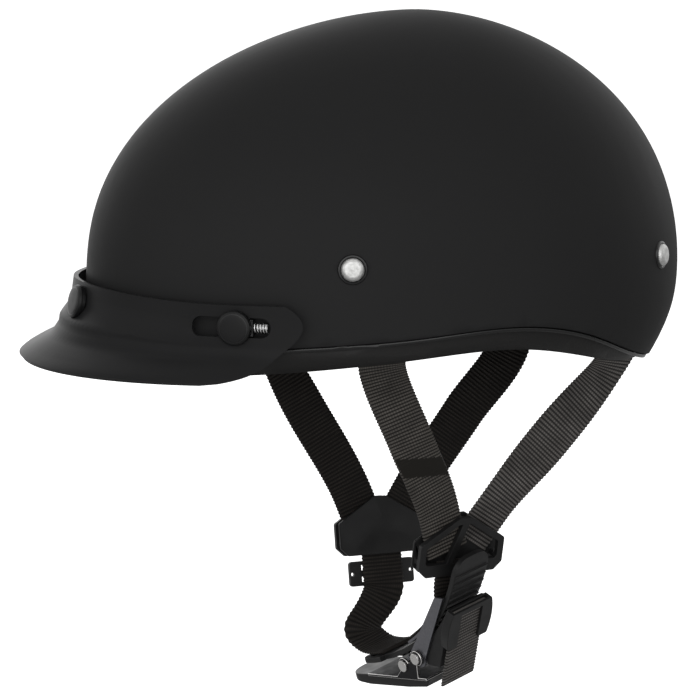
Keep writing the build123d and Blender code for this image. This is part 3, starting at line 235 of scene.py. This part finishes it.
pin_finish = new_finish("pin_steel", (0.62, 0.61, 0.60), 0.30, metal=1.0)
drift_gloss(pin_finish, 500, 0.24, 0.42)
relief(pin_finish, noise(pin_finish, 1400, 3), 0.15, 0.00003)

rivet_finish = new_finish("rivet_silver", (0.46, 0.46, 0.45), 0.42, metal=0.85)
drift_gloss(rivet_finish, 420, 0.32, 0.60)
drift_colour(rivet_finish, noise(rivet_finish, 620, 6), (0.28, 0.28, 0.275), (0.62, 0.62, 0.61))
relief(rivet_finish, noise(rivet_finish, 760, 5), 0.6, 0.00025)

wire_finish = new_finish("spring_wire", (0.66, 0.66, 0.66), 0.20, metal=1.0)
drift_gloss(wire_finish, 700, 0.15, 0.30)
print(len(bpy.data.materials), "finishes so far")

# %% [markdown]
# ## Soft finishes
# Leatherette has pebbles with fine creases between them, so two cell patterns are mixed. The pad
# cloth is brushed, with a sheen and a small knit. Webbing is woven: its relief follows the strap's
# own map, with one rib every couple of millimetres and yarns across each rib. Its colour follows
# the same map, dark in the grooves and light on the tops, which is painted shade in the grooves.
# The webbing comes in three tones of one webbing: a lighter rear copy is painted light, and a
# darker far copy is painted shade.

# %% Soft finishes
skin_finish = new_finish("rim_leatherette", (0.009, 0.0087, 0.0085), 0.46, specular=0.2)
for pebble, amount, depth in ((900.0, 0.35, 0.00015), (2300.0, 0.2, 0.00006)):
    cells = node(skin_finish, "ShaderNodeTexVoronoi", Scale=pebble)
    wire(skin_finish, place(skin_finish), cells.inputs["Vector"])
    relief(skin_finish, cells.outputs["Distance"], amount, depth)
drift_gloss(skin_finish, 40, 0.40, 0.56)

pad_finish = new_finish("brushed_pad_cloth", (0.014, 0.014, 0.0155), 0.9, specular=0.1, sheen=0.06)
knit = node(pad_finish, "ShaderNodeTexVoronoi", Scale=1100.0)
wire(pad_finish, place(pad_finish), knit.inputs["Vector"])
relief(pad_finish, knit.outputs["Distance"], 0.4, 0.0002)
drift_colour(pad_finish, noise(pad_finish, 180, 6), (0.011, 0.011, 0.0125), (0.020, 0.020, 0.022))

RIB_PITCH = 1.75 * MM
YARNS = 24


def webbing_finish(name, dark, light, rough):
    """Woven webbing. Its map runs along the strap in ribs and across it from 0 to 1."""
    finish = new_finish(name, dark, rough, specular=0.14, sheen=0.03)
    split = finish.node_tree.nodes.new("ShaderNodeSeparateXYZ")
    wire(finish, place(finish, "UV"), split.inputs["Vector"])
    waves = []
    for socket, turns in (("X", 2 * pi), ("Y", 2 * pi * YARNS)):
        turn = finish.node_tree.nodes.new("ShaderNodeMath")
        turn.operation, turn.inputs[1].default_value = "MULTIPLY", turns
        wire(finish, split.outputs[socket], turn.inputs[0])
        wave = finish.node_tree.nodes.new("ShaderNodeMath")
        wave.operation = "COSINE"
        wire(finish, turn.outputs[0], wave.inputs[0])
        waves.append(spread(finish, wave.outputs[0], 0, 1, -1, 1))
    beads = finish.node_tree.nodes.new("ShaderNodeMath")
    beads.operation = "MULTIPLY"
    wire(finish, waves[0], beads.inputs[0])
    wire(finish, spread(finish, waves[1], 0.45, 1, 0, 1), beads.inputs[1])
    # The colour is dark in the grooves between ribs and yarns and light on their tops. This is
    # painted shade in the grooves, dimmed at random by a slow noise.
    groove_shade_and_wear = finish.node_tree.nodes.new("ShaderNodeMath")
    groove_shade_and_wear.operation = "MULTIPLY"
    wire(finish, beads.outputs[0], groove_shade_and_wear.inputs[0])
    wire(finish, spread(finish, noise(finish, 90, 5), 0.5, 1.0), groove_shade_and_wear.inputs[1])
    drift_colour(finish, groove_shade_and_wear.outputs[0], dark, light)
    relief(finish, beads.outputs[0], 0.5, 0.00025)
    return finish


# One webbing in three tones: the rear copy is lighter, which is painted light, and the far copy is
# darker, which is painted shade.
near_webbing = webbing_finish("near_webbing", (0.0040, 0.0035, 0.0030), (0.130, 0.119, 0.106), 0.55)
painted_light_webbing = webbing_finish("rear_webbing_painted_light", (0.007, 0.0062, 0.0058), (0.190, 0.178, 0.168), 0.50)
painted_shade_webbing = webbing_finish("far_webbing_painted_shade", (0.0040, 0.0034, 0.0030), (0.034, 0.029, 0.025), 0.62)
sealed_finish = new_finish("sealed_webbing", (0.012, 0.0108, 0.0092), 0.5, specular=0.10)
drift_gloss(sealed_finish, 300, 0.42, 0.56)
relief(sealed_finish, noise(sealed_finish, 1500, 3), 0.2, 0.00006)
print("finishes:", [finish.name for finish in bpy.data.materials])

# %% [markdown]
# ## Helpers for pieces
# A part of the measured model is a cloud of loose triangles. A copy of it is merged, its flat
# stretches are joined into single faces, and its edges get a small bevel, because no real edge is
# perfectly sharp and it is the bevel that catches the light.


# %% Piece helpers
SHARP = 34
MERGE = 0.002 * MM


def make_piece(name, mesh, body, finish, sharp=SHARP):
    """A finished piece from a bmesh, smooth up to an angle. It rides on a body if one is named."""
    data = bpy.data.meshes.new(name)
    mesh.to_mesh(data)
    mesh.free()
    for face in data.polygons:
        face.use_smooth = True
    data.set_sharp_from_angle(angle=radians(sharp))
    piece = bpy.data.objects.new(name, data)
    bpy.context.scene.collection.objects.link(piece)
    data.materials.append(finish)
    if body:
        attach(piece, body)
    return piece


def soften(piece, width, segments=2, angle=SHARP):
    """A bevel on a piece's edges."""
    edge = piece.modifiers.new("soft edges", "BEVEL")
    edge.width, edge.segments, edge.limit_method = width * MM, segments, "ANGLE"
    edge.angle_limit, edge.harden_normals = radians(angle), True


def merged(name, join=True):
    """A copy of a node's mesh, merged, with its flat faces joined."""
    mesh = bmesh.new()
    mesh.from_mesh(nodes[name].data)
    bmesh.ops.remove_doubles(mesh, verts=mesh.verts, dist=MERGE)
    if join:
        bmesh.ops.dissolve_limit(mesh, angle_limit=radians(1), verts=mesh.verts, edges=mesh.edges)
    return mesh


def dress(name, finish, edge=0.0, join=True, sharp=SHARP):
    """A dressed copy of a node that stands for it."""
    mesh = merged(name, join)
    piece = make_piece(f"{name}_dressed", mesh, body_of_node[name], finish, sharp)
    if edge:
        soften(piece, edge)
    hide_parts(name)
    return piece


print("piece helpers ready")

# %% [markdown]
# ## Shell, lining and rim
# The shell is one thin moulding, so its copy keeps every face and only gets smooth shading. The
# foam lining and the folded rim cover sit inside it, and a glossy bead closes the gap between them.

# %% Shell, lining and rim
dress("outer_shell", shell_finish, join=False, sharp=50)
dress("impact_liner", foam_finish, join=False, sharp=50)
dress("rim_cover", skin_finish, join=False, sharp=60)
dress("edge_bead", bead_finish, join=False, sharp=60)

# %% [markdown]
# ## Rivets
# Each strap is held by a silver rivet with a low domed head. A thin black ring round it is painted
# shadow: a dark piece put where the rivet's shadow falls. It is a small profile spun about the
# rivet's axis.

# %% Rivets
SURFACES = {
    "left_front": ((96.507, -59.7, 52.0), (0.925, -0.3672, 0.0982)),
    "right_front": ((-96.507, -59.7, 52.0), (-0.925, -0.3672, 0.0982)),
    "left_rear": ((81.778, 99.0, 47.5), (0.7755, 0.6281, 0.0643)),
    "right_rear": ((-81.778, 99.0, 47.5), (-0.7755, 0.6281, 0.0643)),
}


def facing(centre, out, across=(0, 0, 1)):
    """The transform from a spot that faces up to a spot of the helmet that faces out."""
    out = Vector(out).normalized()
    side = Vector(across).cross(out).normalized()
    turn = Matrix((side, out.cross(side), out)).transposed().to_4x4()
    return Matrix.Translation(Vector(centre) * MM) @ turn


def turned(profile, spot, steps=48):
    """A round piece from a profile of (radius, height) in millimetres, spun and put in place."""
    mesh = bmesh.new()
    line = [mesh.verts.new((radius * MM, 0, height * MM)) for radius, height in profile]
    edges = [mesh.edges.new(pair) for pair in zip(line, line[1:])]
    bmesh.ops.spin(
        mesh, geom=line + edges, cent=(0, 0, 0), axis=(0, 0, 1), angle=2 * pi, steps=steps,
        use_merge=True,
    )
    bmesh.ops.remove_doubles(mesh, verts=mesh.verts, dist=0.001 * MM)
    bmesh.ops.recalc_face_normals(mesh, faces=mesh.faces)
    mesh.transform(spot)
    return mesh


dress("strap_rivets", rivet_finish, join=False, sharp=50)
dress("rivet_washers", rivet_finish, edge=0.15)
# The ring spun here round each rivet is painted shadow.
SHADOW_RING_PROFILE = (
    (5.05, -0.3), (5.05, 0.5), (5.5, 0.75), (6.1, 0.6), (6.4, 0.1), (6.4, -0.3), (5.05, -0.3),
)
for name, (centre, out) in SURFACES.items():
    make_piece(
        f"{name}_rivet_shadow_ring", turned(SHADOW_RING_PROFILE, facing(centre, out)), "helmet", gloss_finish,
    )
print(len(SURFACES), "rivet rings")

# %% [markdown]
# ## Peak
# The peak is a bent sheet with a long slot at each side. The measured one is a plain bend, so the
# front of its copy is eased in and out by height, most in the middle and not at all at the sides.

# %% Peak
# How far the front of the sheet is eased outward, in millimetres, at each height
EASED = ((4, -2.5), (8, -2.2), (13, 0.4), (18, 3.0), (22, 4.2), (25.5, 1.2), (27.5, 0))
EASED_SPAN = 48
EASED_FROM_Y = 15 * MM


def eased_by(height):
    """The easing at a height, smooth between the listed heights."""
    for (low, start), (high, end) in zip(EASED, EASED[1:]):
        if low <= height < high:
            share = (height - low) / (high - low)
            return start + (end - start) * share * share * (3 - 2 * share)
    return EASED[0][1] if height < EASED[0][0] else 0


mesh = merged("visor", join=False)
for vertex in mesh.verts:
    out = Vector((vertex.co.x, vertex.co.y - EASED_FROM_Y, 0))
    angle = min(abs(atan2(out.x, -out.y)) / radians(EASED_SPAN), 1)
    share = cos(angle * pi / 2) ** 2
    vertex.co += out.normalized() * eased_by(vertex.co.z / MM) * share * MM
visor = make_piece("visor_dressed", mesh, "visor", visor_finish, 25)
soften(visor, 0.3)
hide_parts("visor")
print("peak eased by up to", max(ease for _, ease in EASED), "mm")

# %% [markdown]
# ## Snaps
# A mushroom-shaped cap runs in the slot at each side, and a third one holds the middle. Each head
# is spun from a profile with a narrow step under its edge, which catches a thin line of light.

# %% Snaps
SNAPS = {
    "front": ((0.0, -146.331, 30.0), (0.0, -0.9781, 0.2079), "visor"),
    "left": ((76.338, -104.547, 27.6), (0.7744, -0.6327, 0.0), "left_side_snap"),
    "right": ((-76.338, -104.547, 27.6), (-0.7744, -0.6327, 0.0), "right_side_snap"),
}
CAP_PROFILE = (
    (0, 1.5), (6.2, 1.5), (6.7, 1.7), (6.75, 2.3), (7.3, 2.5), (7.46, 3.0), (7.46, 3.7), (7.2, 4.3),
    (6.6, 4.7), (5.2, 4.92), (3.0, 5.04), (0, 5.08),
)
CAP_SHARP = 28
for name, (centre, out, body) in SNAPS.items():
    dress(f"{name}_snap_cap", gloss_finish, edge=0.2)
    dress(f"{name}_snap_socket", steel_finish, edge=0.15)
    make_piece(
        f"{name}_snap_head", turned(CAP_PROFILE, facing(centre, out)), body, cap_finish,
        CAP_SHARP,
    )
dress("snap_studs", rivet_finish, edge=0.12)
print(len(SNAPS), "snaps")


# %% [markdown]
# ## Springs
# A coil is a small circle spun about an axis while it travels along it. The two slot springs push
# the side caps, and the third sits round the buckle's pivot.


# %% Springs
WIRE_SIDES, STEPS_PER_TURN = 10, 24


def coil(spot, radius, wire_size, pitch, turns):
    """A wire wound round the up direction of a spot, starting there."""
    mesh = bmesh.new()
    lean = Matrix.Translation((radius * MM, 0, 0)) @ Matrix.Rotation(pi / 2, 4, "X")
    ring = bmesh.ops.create_circle(
        mesh, cap_ends=True, segments=WIRE_SIDES, radius=wire_size / 2 * MM, matrix=lean
    )
    steps = round(turns * STEPS_PER_TURN)
    bmesh.ops.spin(
        mesh, geom=ring["verts"] + mesh.edges[:] + mesh.faces[:], cent=(0, 0, 0), axis=(0, 0, 1),
        angle=2 * pi * turns, steps=steps, dvec=(0, 0, pitch * turns / steps * MM),
    )
    bmesh.ops.recalc_face_normals(mesh, faces=mesh.faces)
    mesh.transform(spot)
    return mesh


SPRING_START = 8.4
SLOT_RADIUS, SLOT_WIRE, SLOT_PITCH, SLOT_TURNS = 2.0, 0.6, 1.25, 4.5
for name, side in (("left", 1), ("right", -1)):
    centre, out, _ = SNAPS[name]
    run = Vector((-out[1] * side, abs(out[0]), 0))
    start = Vector(centre) + run * SPRING_START
    mesh = coil(facing(start, run, out), SLOT_RADIUS, SLOT_WIRE, SLOT_PITCH, SLOT_TURNS)
    spring = make_piece(f"{name}_slot_coil", mesh, "visor", wire_finish)
    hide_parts(f"{name}_slot_spring")

PIVOT = Vector((18.0, 19.5, -142.0))
ACROSS = Vector((0.2701, -0.942, -0.1994)).normalized()
PIVOT_RADIUS, PIVOT_WIRE, PIVOT_PITCH, PIVOT_TURNS = 2.3, 0.7, 1.5, 6
start = PIVOT - ACROSS * PIVOT_PITCH * PIVOT_TURNS / 2
mesh = coil(facing(start, ACROSS), PIVOT_RADIUS, PIVOT_WIRE, PIVOT_PITCH, PIVOT_TURNS)
spring = make_piece("pivot_coil", mesh, "helmet", wire_finish)
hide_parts("lever_spring")
print("slot coils of", SLOT_TURNS, "turns, pivot coil of", PIVOT_TURNS)

# %% [markdown]
# ## Routes of the webbing
# A strap is a flat band that leans and twists on its way from its rivet to its divider. Each route
# lists the band's centres in millimetres and, after each, the direction in which it is wide.

# %% Routes of the webbing
ROUTES = {
    "left_front_strap": (
        (89.7, -60.1, 60.5, 0.37, 0.93, 0), (91.6, -57.8, 51.5, 0.37, 0.93, 0),
        (93.3, -55.6, 43.4, 0.37, 0.93, 0), (93.8, -44.8, 27.5, 0.30, 0.95, 0),
        (71.4, -34.0, 3.0, 0.25, 0.97, 0), (59.6, -14.2, -33.3, 0.30, 0.90, 0.32),
        (47.7, 5.5, -69.6, 0, 0.95, 0.32), (45.7, 8.3, -78.0, 0, 0.95, 0.32),
        (43.1, 12.1, -89.2, 0, 0.95, 0.32),
    ),
    "left_rear_strap": (
        (78.8, 93.3, 56.3, -0.63, 0.78, 0), (77.7, 95.7, 47.2, -0.63, 0.78, 0),
        (76.6, 97.8, 39.0, -0.63, 0.78, 0), (70.0, 94.4, 18.8, -0.67, 0.75, 0),
        (47.5, 91.0, -10.0, -0.24, 0.82, -0.53), (45.6, 63.9, -39.5, 0.20, 0.75, -0.63),
        (43.7, 36.7, -69.0, -0.18, 0.81, -0.56), (42.5, 31.5, -76.2, -0.18, 0.81, -0.56),
        (41.0, 24.6, -85.8, -0.18, 0.81, -0.56),
    ),
    "right_front_strap": (
        (-89.7, -60.1, 60.5, -0.37, 0.93, 0), (-91.6, -57.8, 51.5, -0.37, 0.93, 0),
        (-93.3, -55.6, 43.4, -0.37, 0.93, 0), (-93.8, -44.8, 27.5, -0.30, 0.95, 0),
        (-71.4, -34.0, 3.0, -0.58, 0.77, 0.28), (-59.6, -14.2, -38.3, 0.10, 0.89, 0.45),
        (-47.7, 5.5, -79.6, 0, 0.95, 0.32), (-45.7, 8.3, -88.0, 0, 0.95, 0.32),
        (-43.1, 12.1, -99.2, 0, 0.95, 0.32),
    ),
    "right_rear_strap": (
        (-78.8, 93.3, 56.3, 0.63, 0.78, 0), (-77.7, 95.7, 47.2, 0.63, 0.78, 0),
        (-76.6, 97.8, 39.0, 0.63, 0.78, 0), (-70.0, 94.4, 18.8, 0.67, 0.75, 0),
        (-47.5, 91.0, -10.0, 0.61, 0.61, -0.51), (-45.6, 63.9, -44.5, 0.30, 0.72, -0.62),
        (-43.7, 36.7, -79.0, 0.18, 0.81, -0.56), (-42.5, 31.5, -86.2, 0.18, 0.81, -0.56),
        (-41.0, 24.6, -95.8, 0.18, 0.81, -0.56),
    ),
    "left_chin_strap": (
        (40.9, 17.7, -93.9, -0.07, 1, 0), (38.7, 17.6, -104.1, -0.07, 1, 0),
        (33.5, 18.4, -115.9, -0.27, 0.94, 0.20), (27.8, 18.1, -122.0, -0.27, 0.94, 0.20),
        (20.2, 17.3, -128.6, -0.27, 0.94, 0.20), (12.1, 16.2, -134.5, -0.27, 0.94, 0.20),
    ),
    "right_chin_strap": (
        (-40.9, 17.7, -103.9, -0.07, -1, 0), (-37.9, 17.5, -118.0, -0.07, -1, 0),
        (-36.6, 17.4, -123.9, -0.07, -1, 0), (-33.3, 5.7, -146.2, 0.27, -0.94, -0.20),
        (-26.0, 8.5, -149.6, 0.27, -0.94, -0.20), (-17.8, 10.7, -149.0, 0.27, -0.94, -0.20),
        (-9.7, 12.5, -146.7, 0.27, -0.94, -0.20),
    ),
    "strap_tail": (
        (46.2, 21.9, -115.0, -0.27, 0.94, 0.20), (38.1, 23.3, -132.9, -0.27, 0.94, 0.20),
        (28.2, 25.1, -154.4, -0.27, 0.94, 0.20),
    ),
}
print(len(ROUTES), "routes")

# %% [markdown]
# ## Smooth routes
# A cubic curve runs through the centres and another through the width directions. Its slope at each
# point leans to that of the shorter stretch beside it, so that the band doesn't swing wide there.


# %% Smooth routes
def slope_at(values, runs, i):
    """Slope of a smooth curve at its value i, nearest to that of the shorter stretch beside it."""
    if i == 0 or i == len(runs):
        end = min(i, len(runs) - 1)
        return (values[end + 1] - values[end]) / runs[end]
    before, after = (values[i] - values[i - 1]) / runs[i - 1], (values[i + 1] - values[i]) / runs[i]
    return (before * runs[i] + after * runs[i - 1]) / (runs[i - 1] + runs[i])


def smooth(values, runs, i, share):
    """Value and slope of a smooth curve through values, at a share of its stretch i."""
    rest, run = 1 - share, runs[i]
    first, last = slope_at(values, runs, i), slope_at(values, runs, i + 1)
    value = values[i] * (1 + 2 * share) * rest ** 2 + first * run * share * rest ** 2
    value += values[i + 1] * (1 + 2 * rest) * share ** 2 - last * run * rest * share ** 2
    slope = (values[i + 1] - values[i]) * 6 * share * rest / run
    slope += first * rest * (1 - 3 * share) + last * share * (1 - 3 * rest)
    return value, slope


def route_frames(route):
    """Function from a length along a route to its centre, width direction and outward direction."""
    centres = [Vector(row[:3]) * MM for row in route]
    widths = [Vector(row[3:]).normalized() for row in route]
    runs = [(end - start).length for start, end in zip(centres, centres[1:])]
    total = sum(runs)

    def at(length):
        i = 0
        while i < len(runs) - 1 and length > runs[i]:
            length -= runs[i]
            i += 1
        share = min(max(length / runs[i], 0), 1)
        centre, ahead = smooth(centres, runs, i, share)
        width, _ = smooth(widths, runs, i, share)
        ahead = ahead.normalized()
        width = (width - ahead * width.dot(ahead)).normalized()
        return centre, width, ahead.cross(width)

    return at, total


for name, route in ROUTES.items():
    print(f"{name} runs {route_frames(route)[1] / MM:.0f} mm")

# %% [markdown]
# ## Webbing pieces
# A grid is laid along each route: one coordinate runs along it and the other goes round the band.
# Ribs are real relief, and the edges bulge a little at every rib, as a woven edge does.

# %% Webbing pieces
WEBBING_WIDTH, WEBBING_THICKNESS = 21 * MM, 1.6 * MM
ROWS_PER_RIB, COLUMNS = 6, 16
RIB_RISE, EDGE_RISE = 0.22 * MM, 0.40 * MM
ROUND_FROM, ROUND_OVER = 0.90, 0.10
SEALED_RIB, SEALED_HALF = 0.35, 0.43
SEALED_PATCH = (-50.5, -41.0)
WEBBING_SHARP = 60


def uv_across(data, face):
    """How far across the webbing a face lies, from 0 to 1."""
    return data.uv_layers[0].data[face.loop_start].uv.y


def webbing(name, body, finish, plain=None):
    """A ribbed band along a route, in place of the plain band of the same name.

    Between the two heights of plain, in millimetres, it is sealed smooth.
    """
    at, total = route_frames(ROUTES[name])
    rows = round(total / RIB_PITCH * ROWS_PER_RIB)
    mesh = bmesh.new()
    bmesh.ops.create_grid(mesh, x_segments=rows, y_segments=2 * COLUMNS, size=0.5)
    uv = mesh.loops.layers.uv.verify()
    for face in mesh.faces:
        for loop in face.loops:
            turn = (loop.vert.co.y + 0.5) * 2
            loop[uv].uv = ((loop.vert.co.x + 0.5) * total / RIB_PITCH, 1 - abs(turn - 1))
    for vertex in mesh.verts:
        along, turn = (vertex.co.x + 0.5) * total, (vertex.co.y + 0.5) * 2
        centre, width, out = at(along)
        side = 1 if turn < 1 else -1
        across = -cos(pi * turn)
        sealed = plain is not None and plain[0] < centre.z / MM < plain[1]
        rib = SEALED_RIB if sealed else 0.5 + 0.5 * cos(2 * pi * along / RIB_PITCH)
        half = WEBBING_WIDTH / 2 - EDGE_RISE * (1 - rib)
        round_off = max(abs(across) - ROUND_FROM, 0) / ROUND_OVER
        thick = (WEBBING_THICKNESS / 2 - RIB_RISE * (1 - rib)) * max(1 - round_off ** 2, 0) ** 0.5
        vertex.co = centre + width * (across * half) + out * (side * thick)
    bmesh.ops.remove_doubles(mesh, verts=mesh.verts, dist=MERGE)
    bmesh.ops.holes_fill(mesh, edges=[edge for edge in mesh.edges if edge.is_boundary], sides=0)
    bmesh.ops.recalc_face_normals(mesh, faces=mesh.faces)
    piece = make_piece(f"{name}_woven", mesh, body, finish, WEBBING_SHARP)
    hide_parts(name)
    if plain is not None:
        piece.data.materials.append(sealed_finish)
        for face in piece.data.polygons:
            inside = abs(uv_across(piece.data, face) - 0.5) < SEALED_HALF
            if inside and plain[0] < face.center.z / MM < plain[1]:
                face.material_index = 1
    print(f"{name}: {total / MM:.0f} mm, {len(piece.data.polygons)} faces")
    return piece


# The rear strap and the tail take the painted light copy. The far straps and both chin straps take
# the painted shade copy.
webbing("left_front_strap", "helmet", near_webbing, plain=SEALED_PATCH)
webbing("left_rear_strap", "helmet", painted_light_webbing)
webbing("right_front_strap", "helmet", painted_shade_webbing)
webbing("right_rear_strap", "helmet", painted_shade_webbing)
webbing("left_chin_strap", "helmet", painted_shade_webbing)
webbing("strap_tail", "helmet", painted_light_webbing)

# %% [markdown]
# ## The strap on the tongue
# The strap on the tongue is the one that moves. It hangs from its divider at one end and goes
# through the tongue's base at the other, so it bends when the tongue is drawn out of the buckle.
# Here it rides on no body and its mesh is baked in place; only the stretch that would bend is
# measured.

# %% The strap on the tongue
BEND_FROM, BEND_TO = 0.18, 0.55
chin_strap = webbing("right_chin_strap", None, painted_shade_webbing)
at, total = route_frames(ROUTES["right_chin_strap"])
bend_start, bend_end = at(total * BEND_FROM)[0], at(total * BEND_TO)[0]
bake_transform(chin_strap)
print(f"it bends over {(bend_end - bend_start).length / MM:.0f} mm")

# %% [markdown]
# ## Strap dividers and the slider
# Each divider is two mouldings: a windowed frame that shows, and a back with a low peak. They have
# soft edges and a fine grain, as injection mouldings do.

# %% Dividers and slider
DIVIDERS = (
    "left_divider", "left_divider_back", "right_divider", "right_divider_back", "right_slider",
)
for name in DIVIDERS:
    dress(name, moulded_finish, edge=0.35)
print(len(DIVIDERS), "mouldings on the straps")

# %% [markdown]
# ## Ratchet buckle
# The channel and the pawl are pressed from satin steel and have crisp but broken edges. The lever
# plate is coated black, and its edge bevel takes the bright pin steel, a painted highlight along
# the edges. The frame, the paddle and the tongue are black mouldings, with pale pins through them.

# %% Buckle
dress("ratchet_tongue", moulded_finish, edge=0.25)
dress("buckle_frame", moulded_finish, edge=0.3)
dress("release_lever", moulded_finish, edge=0.4)
dress("buckle_channel", steel_finish, edge=0.12)
lever = dress("lever_plate", coated_finish, edge=0.3)
# The bevel's bright steel is a painted highlight along the plate's edges.
lever.data.materials.append(pin_finish)
lever.modifiers["soft edges"].material = 1
dress("pawl", steel_finish, edge=0.15)
dress("pivot_pin", pin_finish, edge=0.2)
dress("pawl_pin", pin_finish, edge=0.15)
print("lever plate materials:", [slot.material.name for slot in lever.material_slots])

# %% [markdown]
# ## Comfort pads
# A pad is foam in a cloth cover. Its copy is remeshed evenly, drawn in a little and then blown up
# as cloth under pressure, so the faces crown and the edges go round. The movement is capped so the
# pad keeps to its own space.

# %% Comfort pads
PAD_VOXEL, PAD_SHRINK, PAD_CAP = 2.2 * MM, 0.9 * MM, 1.0 * MM
PAD_PRESSURE, PAD_FRAMES = 4.0, 20


def plump(name):
    """A pad blown up as cloth inside the space of its plain solid."""
    mesh = merged(name, join=False)
    piece = make_piece(f"{name}_plump", mesh, "helmet", pad_finish, 180)
    even = piece.modifiers.new("even", "REMESH")
    even.mode, even.voxel_size, even.use_smooth_shade = "VOXEL", PAD_VOXEL, True
    seen = bpy.context.evaluated_depsgraph_get()
    data = bpy.data.meshes.new_from_object(piece.evaluated_get(seen))
    piece.modifiers.clear()
    piece.data = data
    for vertex, normal in zip(data.vertices, [Vector(n.vector) for n in data.vertex_normals]):
        vertex.co -= normal * PAD_SHRINK
    rest = [vertex.co.copy() for vertex in data.vertices]
    cloth = piece.modifiers.new("blown up", "CLOTH")
    cloth.settings.use_pressure = True
    cloth.settings.uniform_pressure_force = PAD_PRESSURE
    cloth.settings.effector_weights.gravity = 0
    cloth.point_cache.frame_end = PAD_FRAMES
    for frame_number in range(1, PAD_FRAMES + 1):
        bpy.context.scene.frame_set(frame_number)
    seen = bpy.context.evaluated_depsgraph_get()
    blown = bpy.data.meshes.new_from_object(piece.evaluated_get(seen))
    moved = [(after.co - start).length for start, after in zip(rest, blown.vertices)]
    print(f"{name} blown up by {sum(moved) / len(moved) / MM:.2f} mm on average")
    piece.modifiers.clear()
    for vertex, start, moved in zip(data.vertices, rest, blown.vertices):
        step = moved.co - start
        vertex.co = start + step * min(1, PAD_CAP / max(step.length, 1e-9))
    bpy.context.scene.frame_set(1)
    finer = piece.modifiers.new("finer", "SUBSURF")
    finer.levels = finer.render_levels = 1
    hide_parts(name)
    return piece


for name in ("crown_pad", "brow_pad", "left_side_pad", "nape_pad", "right_side_pad"):
    pad = plump(name)
    print(pad.name, len(pad.data.polygons), "faces")

# %% [markdown]
# ## Floor and world
# The photograph has a plain white ground. The floor is pale and well below the straps, and it keeps
# the shadow. The world is white to the camera and in reflections, and dimmer as a light.

# %% Floor and world
FLOOR_HEIGHT, FLOOR_SIZE = -0.30, 60
mesh = bmesh.new()
bmesh.ops.create_grid(mesh, x_segments=1, y_segments=1, size=FLOOR_SIZE)
bmesh.ops.translate(mesh, verts=mesh.verts, vec=(0, 0, FLOOR_HEIGHT))
data = bpy.data.meshes.new("floor")
mesh.to_mesh(data)
mesh.free()
floor = bpy.data.objects.new("floor", data)
bpy.context.scene.collection.objects.link(floor)
floor_finish = new_finish("pale_floor", (0.80, 0.80, 0.80), 0.9, specular=0.0)
seen_by = floor_finish.node_tree.nodes.new("ShaderNodeLightPath")
glow = spread(floor_finish, seen_by.outputs["Is Camera Ray"], 0.0, 1.0, 0, 1)
floor_shader = floor_finish.node_tree.nodes["Principled BSDF"]
floor_shader.inputs["Emission Color"].default_value = (1, 1, 1, 1)
wire(floor_finish, glow, floor_shader.inputs["Emission Strength"])
data.materials.append(floor_finish)

AMBIENT = 0.25
world = bpy.data.worlds.new("studio")
bpy.context.scene.world = world
world.use_nodes = True
tree = world.node_tree
ground = tree.nodes["Background"]
ground.inputs["Color"].default_value = (1, 1, 1, 1)
path = tree.nodes.new("ShaderNodeLightPath")
white = None
for kind in ("Is Camera Ray", "Is Glossy Ray", "Is Transmission Ray"):
    if white is None:
        white = path.outputs[kind]
        continue
    add = tree.nodes.new("ShaderNodeMath")
    add.operation, add.use_clamp = "ADD", True
    tree.links.new(white, add.inputs[0])
    tree.links.new(path.outputs[kind], add.inputs[1])
    white = add.outputs[0]
level = tree.nodes.new("ShaderNodeMapRange")
level.inputs["To Min"].default_value, level.inputs["To Max"].default_value = AMBIENT, 1.0
tree.links.new(white, level.inputs["Value"])
tree.links.new(level.outputs["Result"], ground.inputs["Strength"])
print("floor at", FLOOR_HEIGHT, "m, world light", AMBIENT)

# %% [markdown]
# ## Lamps
# Large soft lamps stand in front, on the camera's side, above, behind and on the far side. They
# are wide, so a semi-matte surface shows broad grey light and no hard spots. Each has its place,
# its width in metres and its power in watts, and all face the middle of the helmet.

# %% Lamps
LAMP_AIM = Vector((0, 0, 0.03))
LAMPS = {
    "front_lamp": ((0.30, -1.50, 0.20), 1.6, 5),
    "camera_side_lamp": ((1.40, -0.60, 0.35), 1.8, 16),
    "top_lamp": ((0.0, 0.0, 1.7), 1.6, 2),
    "rear_lamp": ((-0.3, 1.55, 0.45), 1.6, 4),
    "far_side_lamp": ((-1.5, -0.2, 0.45), 1.6, 6),
}
for name, (spot, size, power) in LAMPS.items():
    lamp = bpy.data.lights.new(name, "AREA")
    lamp.shape, lamp.size, lamp.energy = "SQUARE", size, power
    holder = bpy.data.objects.new(name, lamp)
    bpy.context.scene.collection.objects.link(holder)
    holder.location = spot
    holder.visible_camera = False
    holder.rotation_mode = "QUATERNION"
    holder.rotation_quaternion = (LAMP_AIM - Vector(spot)).to_track_quat("-Z", "Y")
print(len(LAMPS), "lamps")
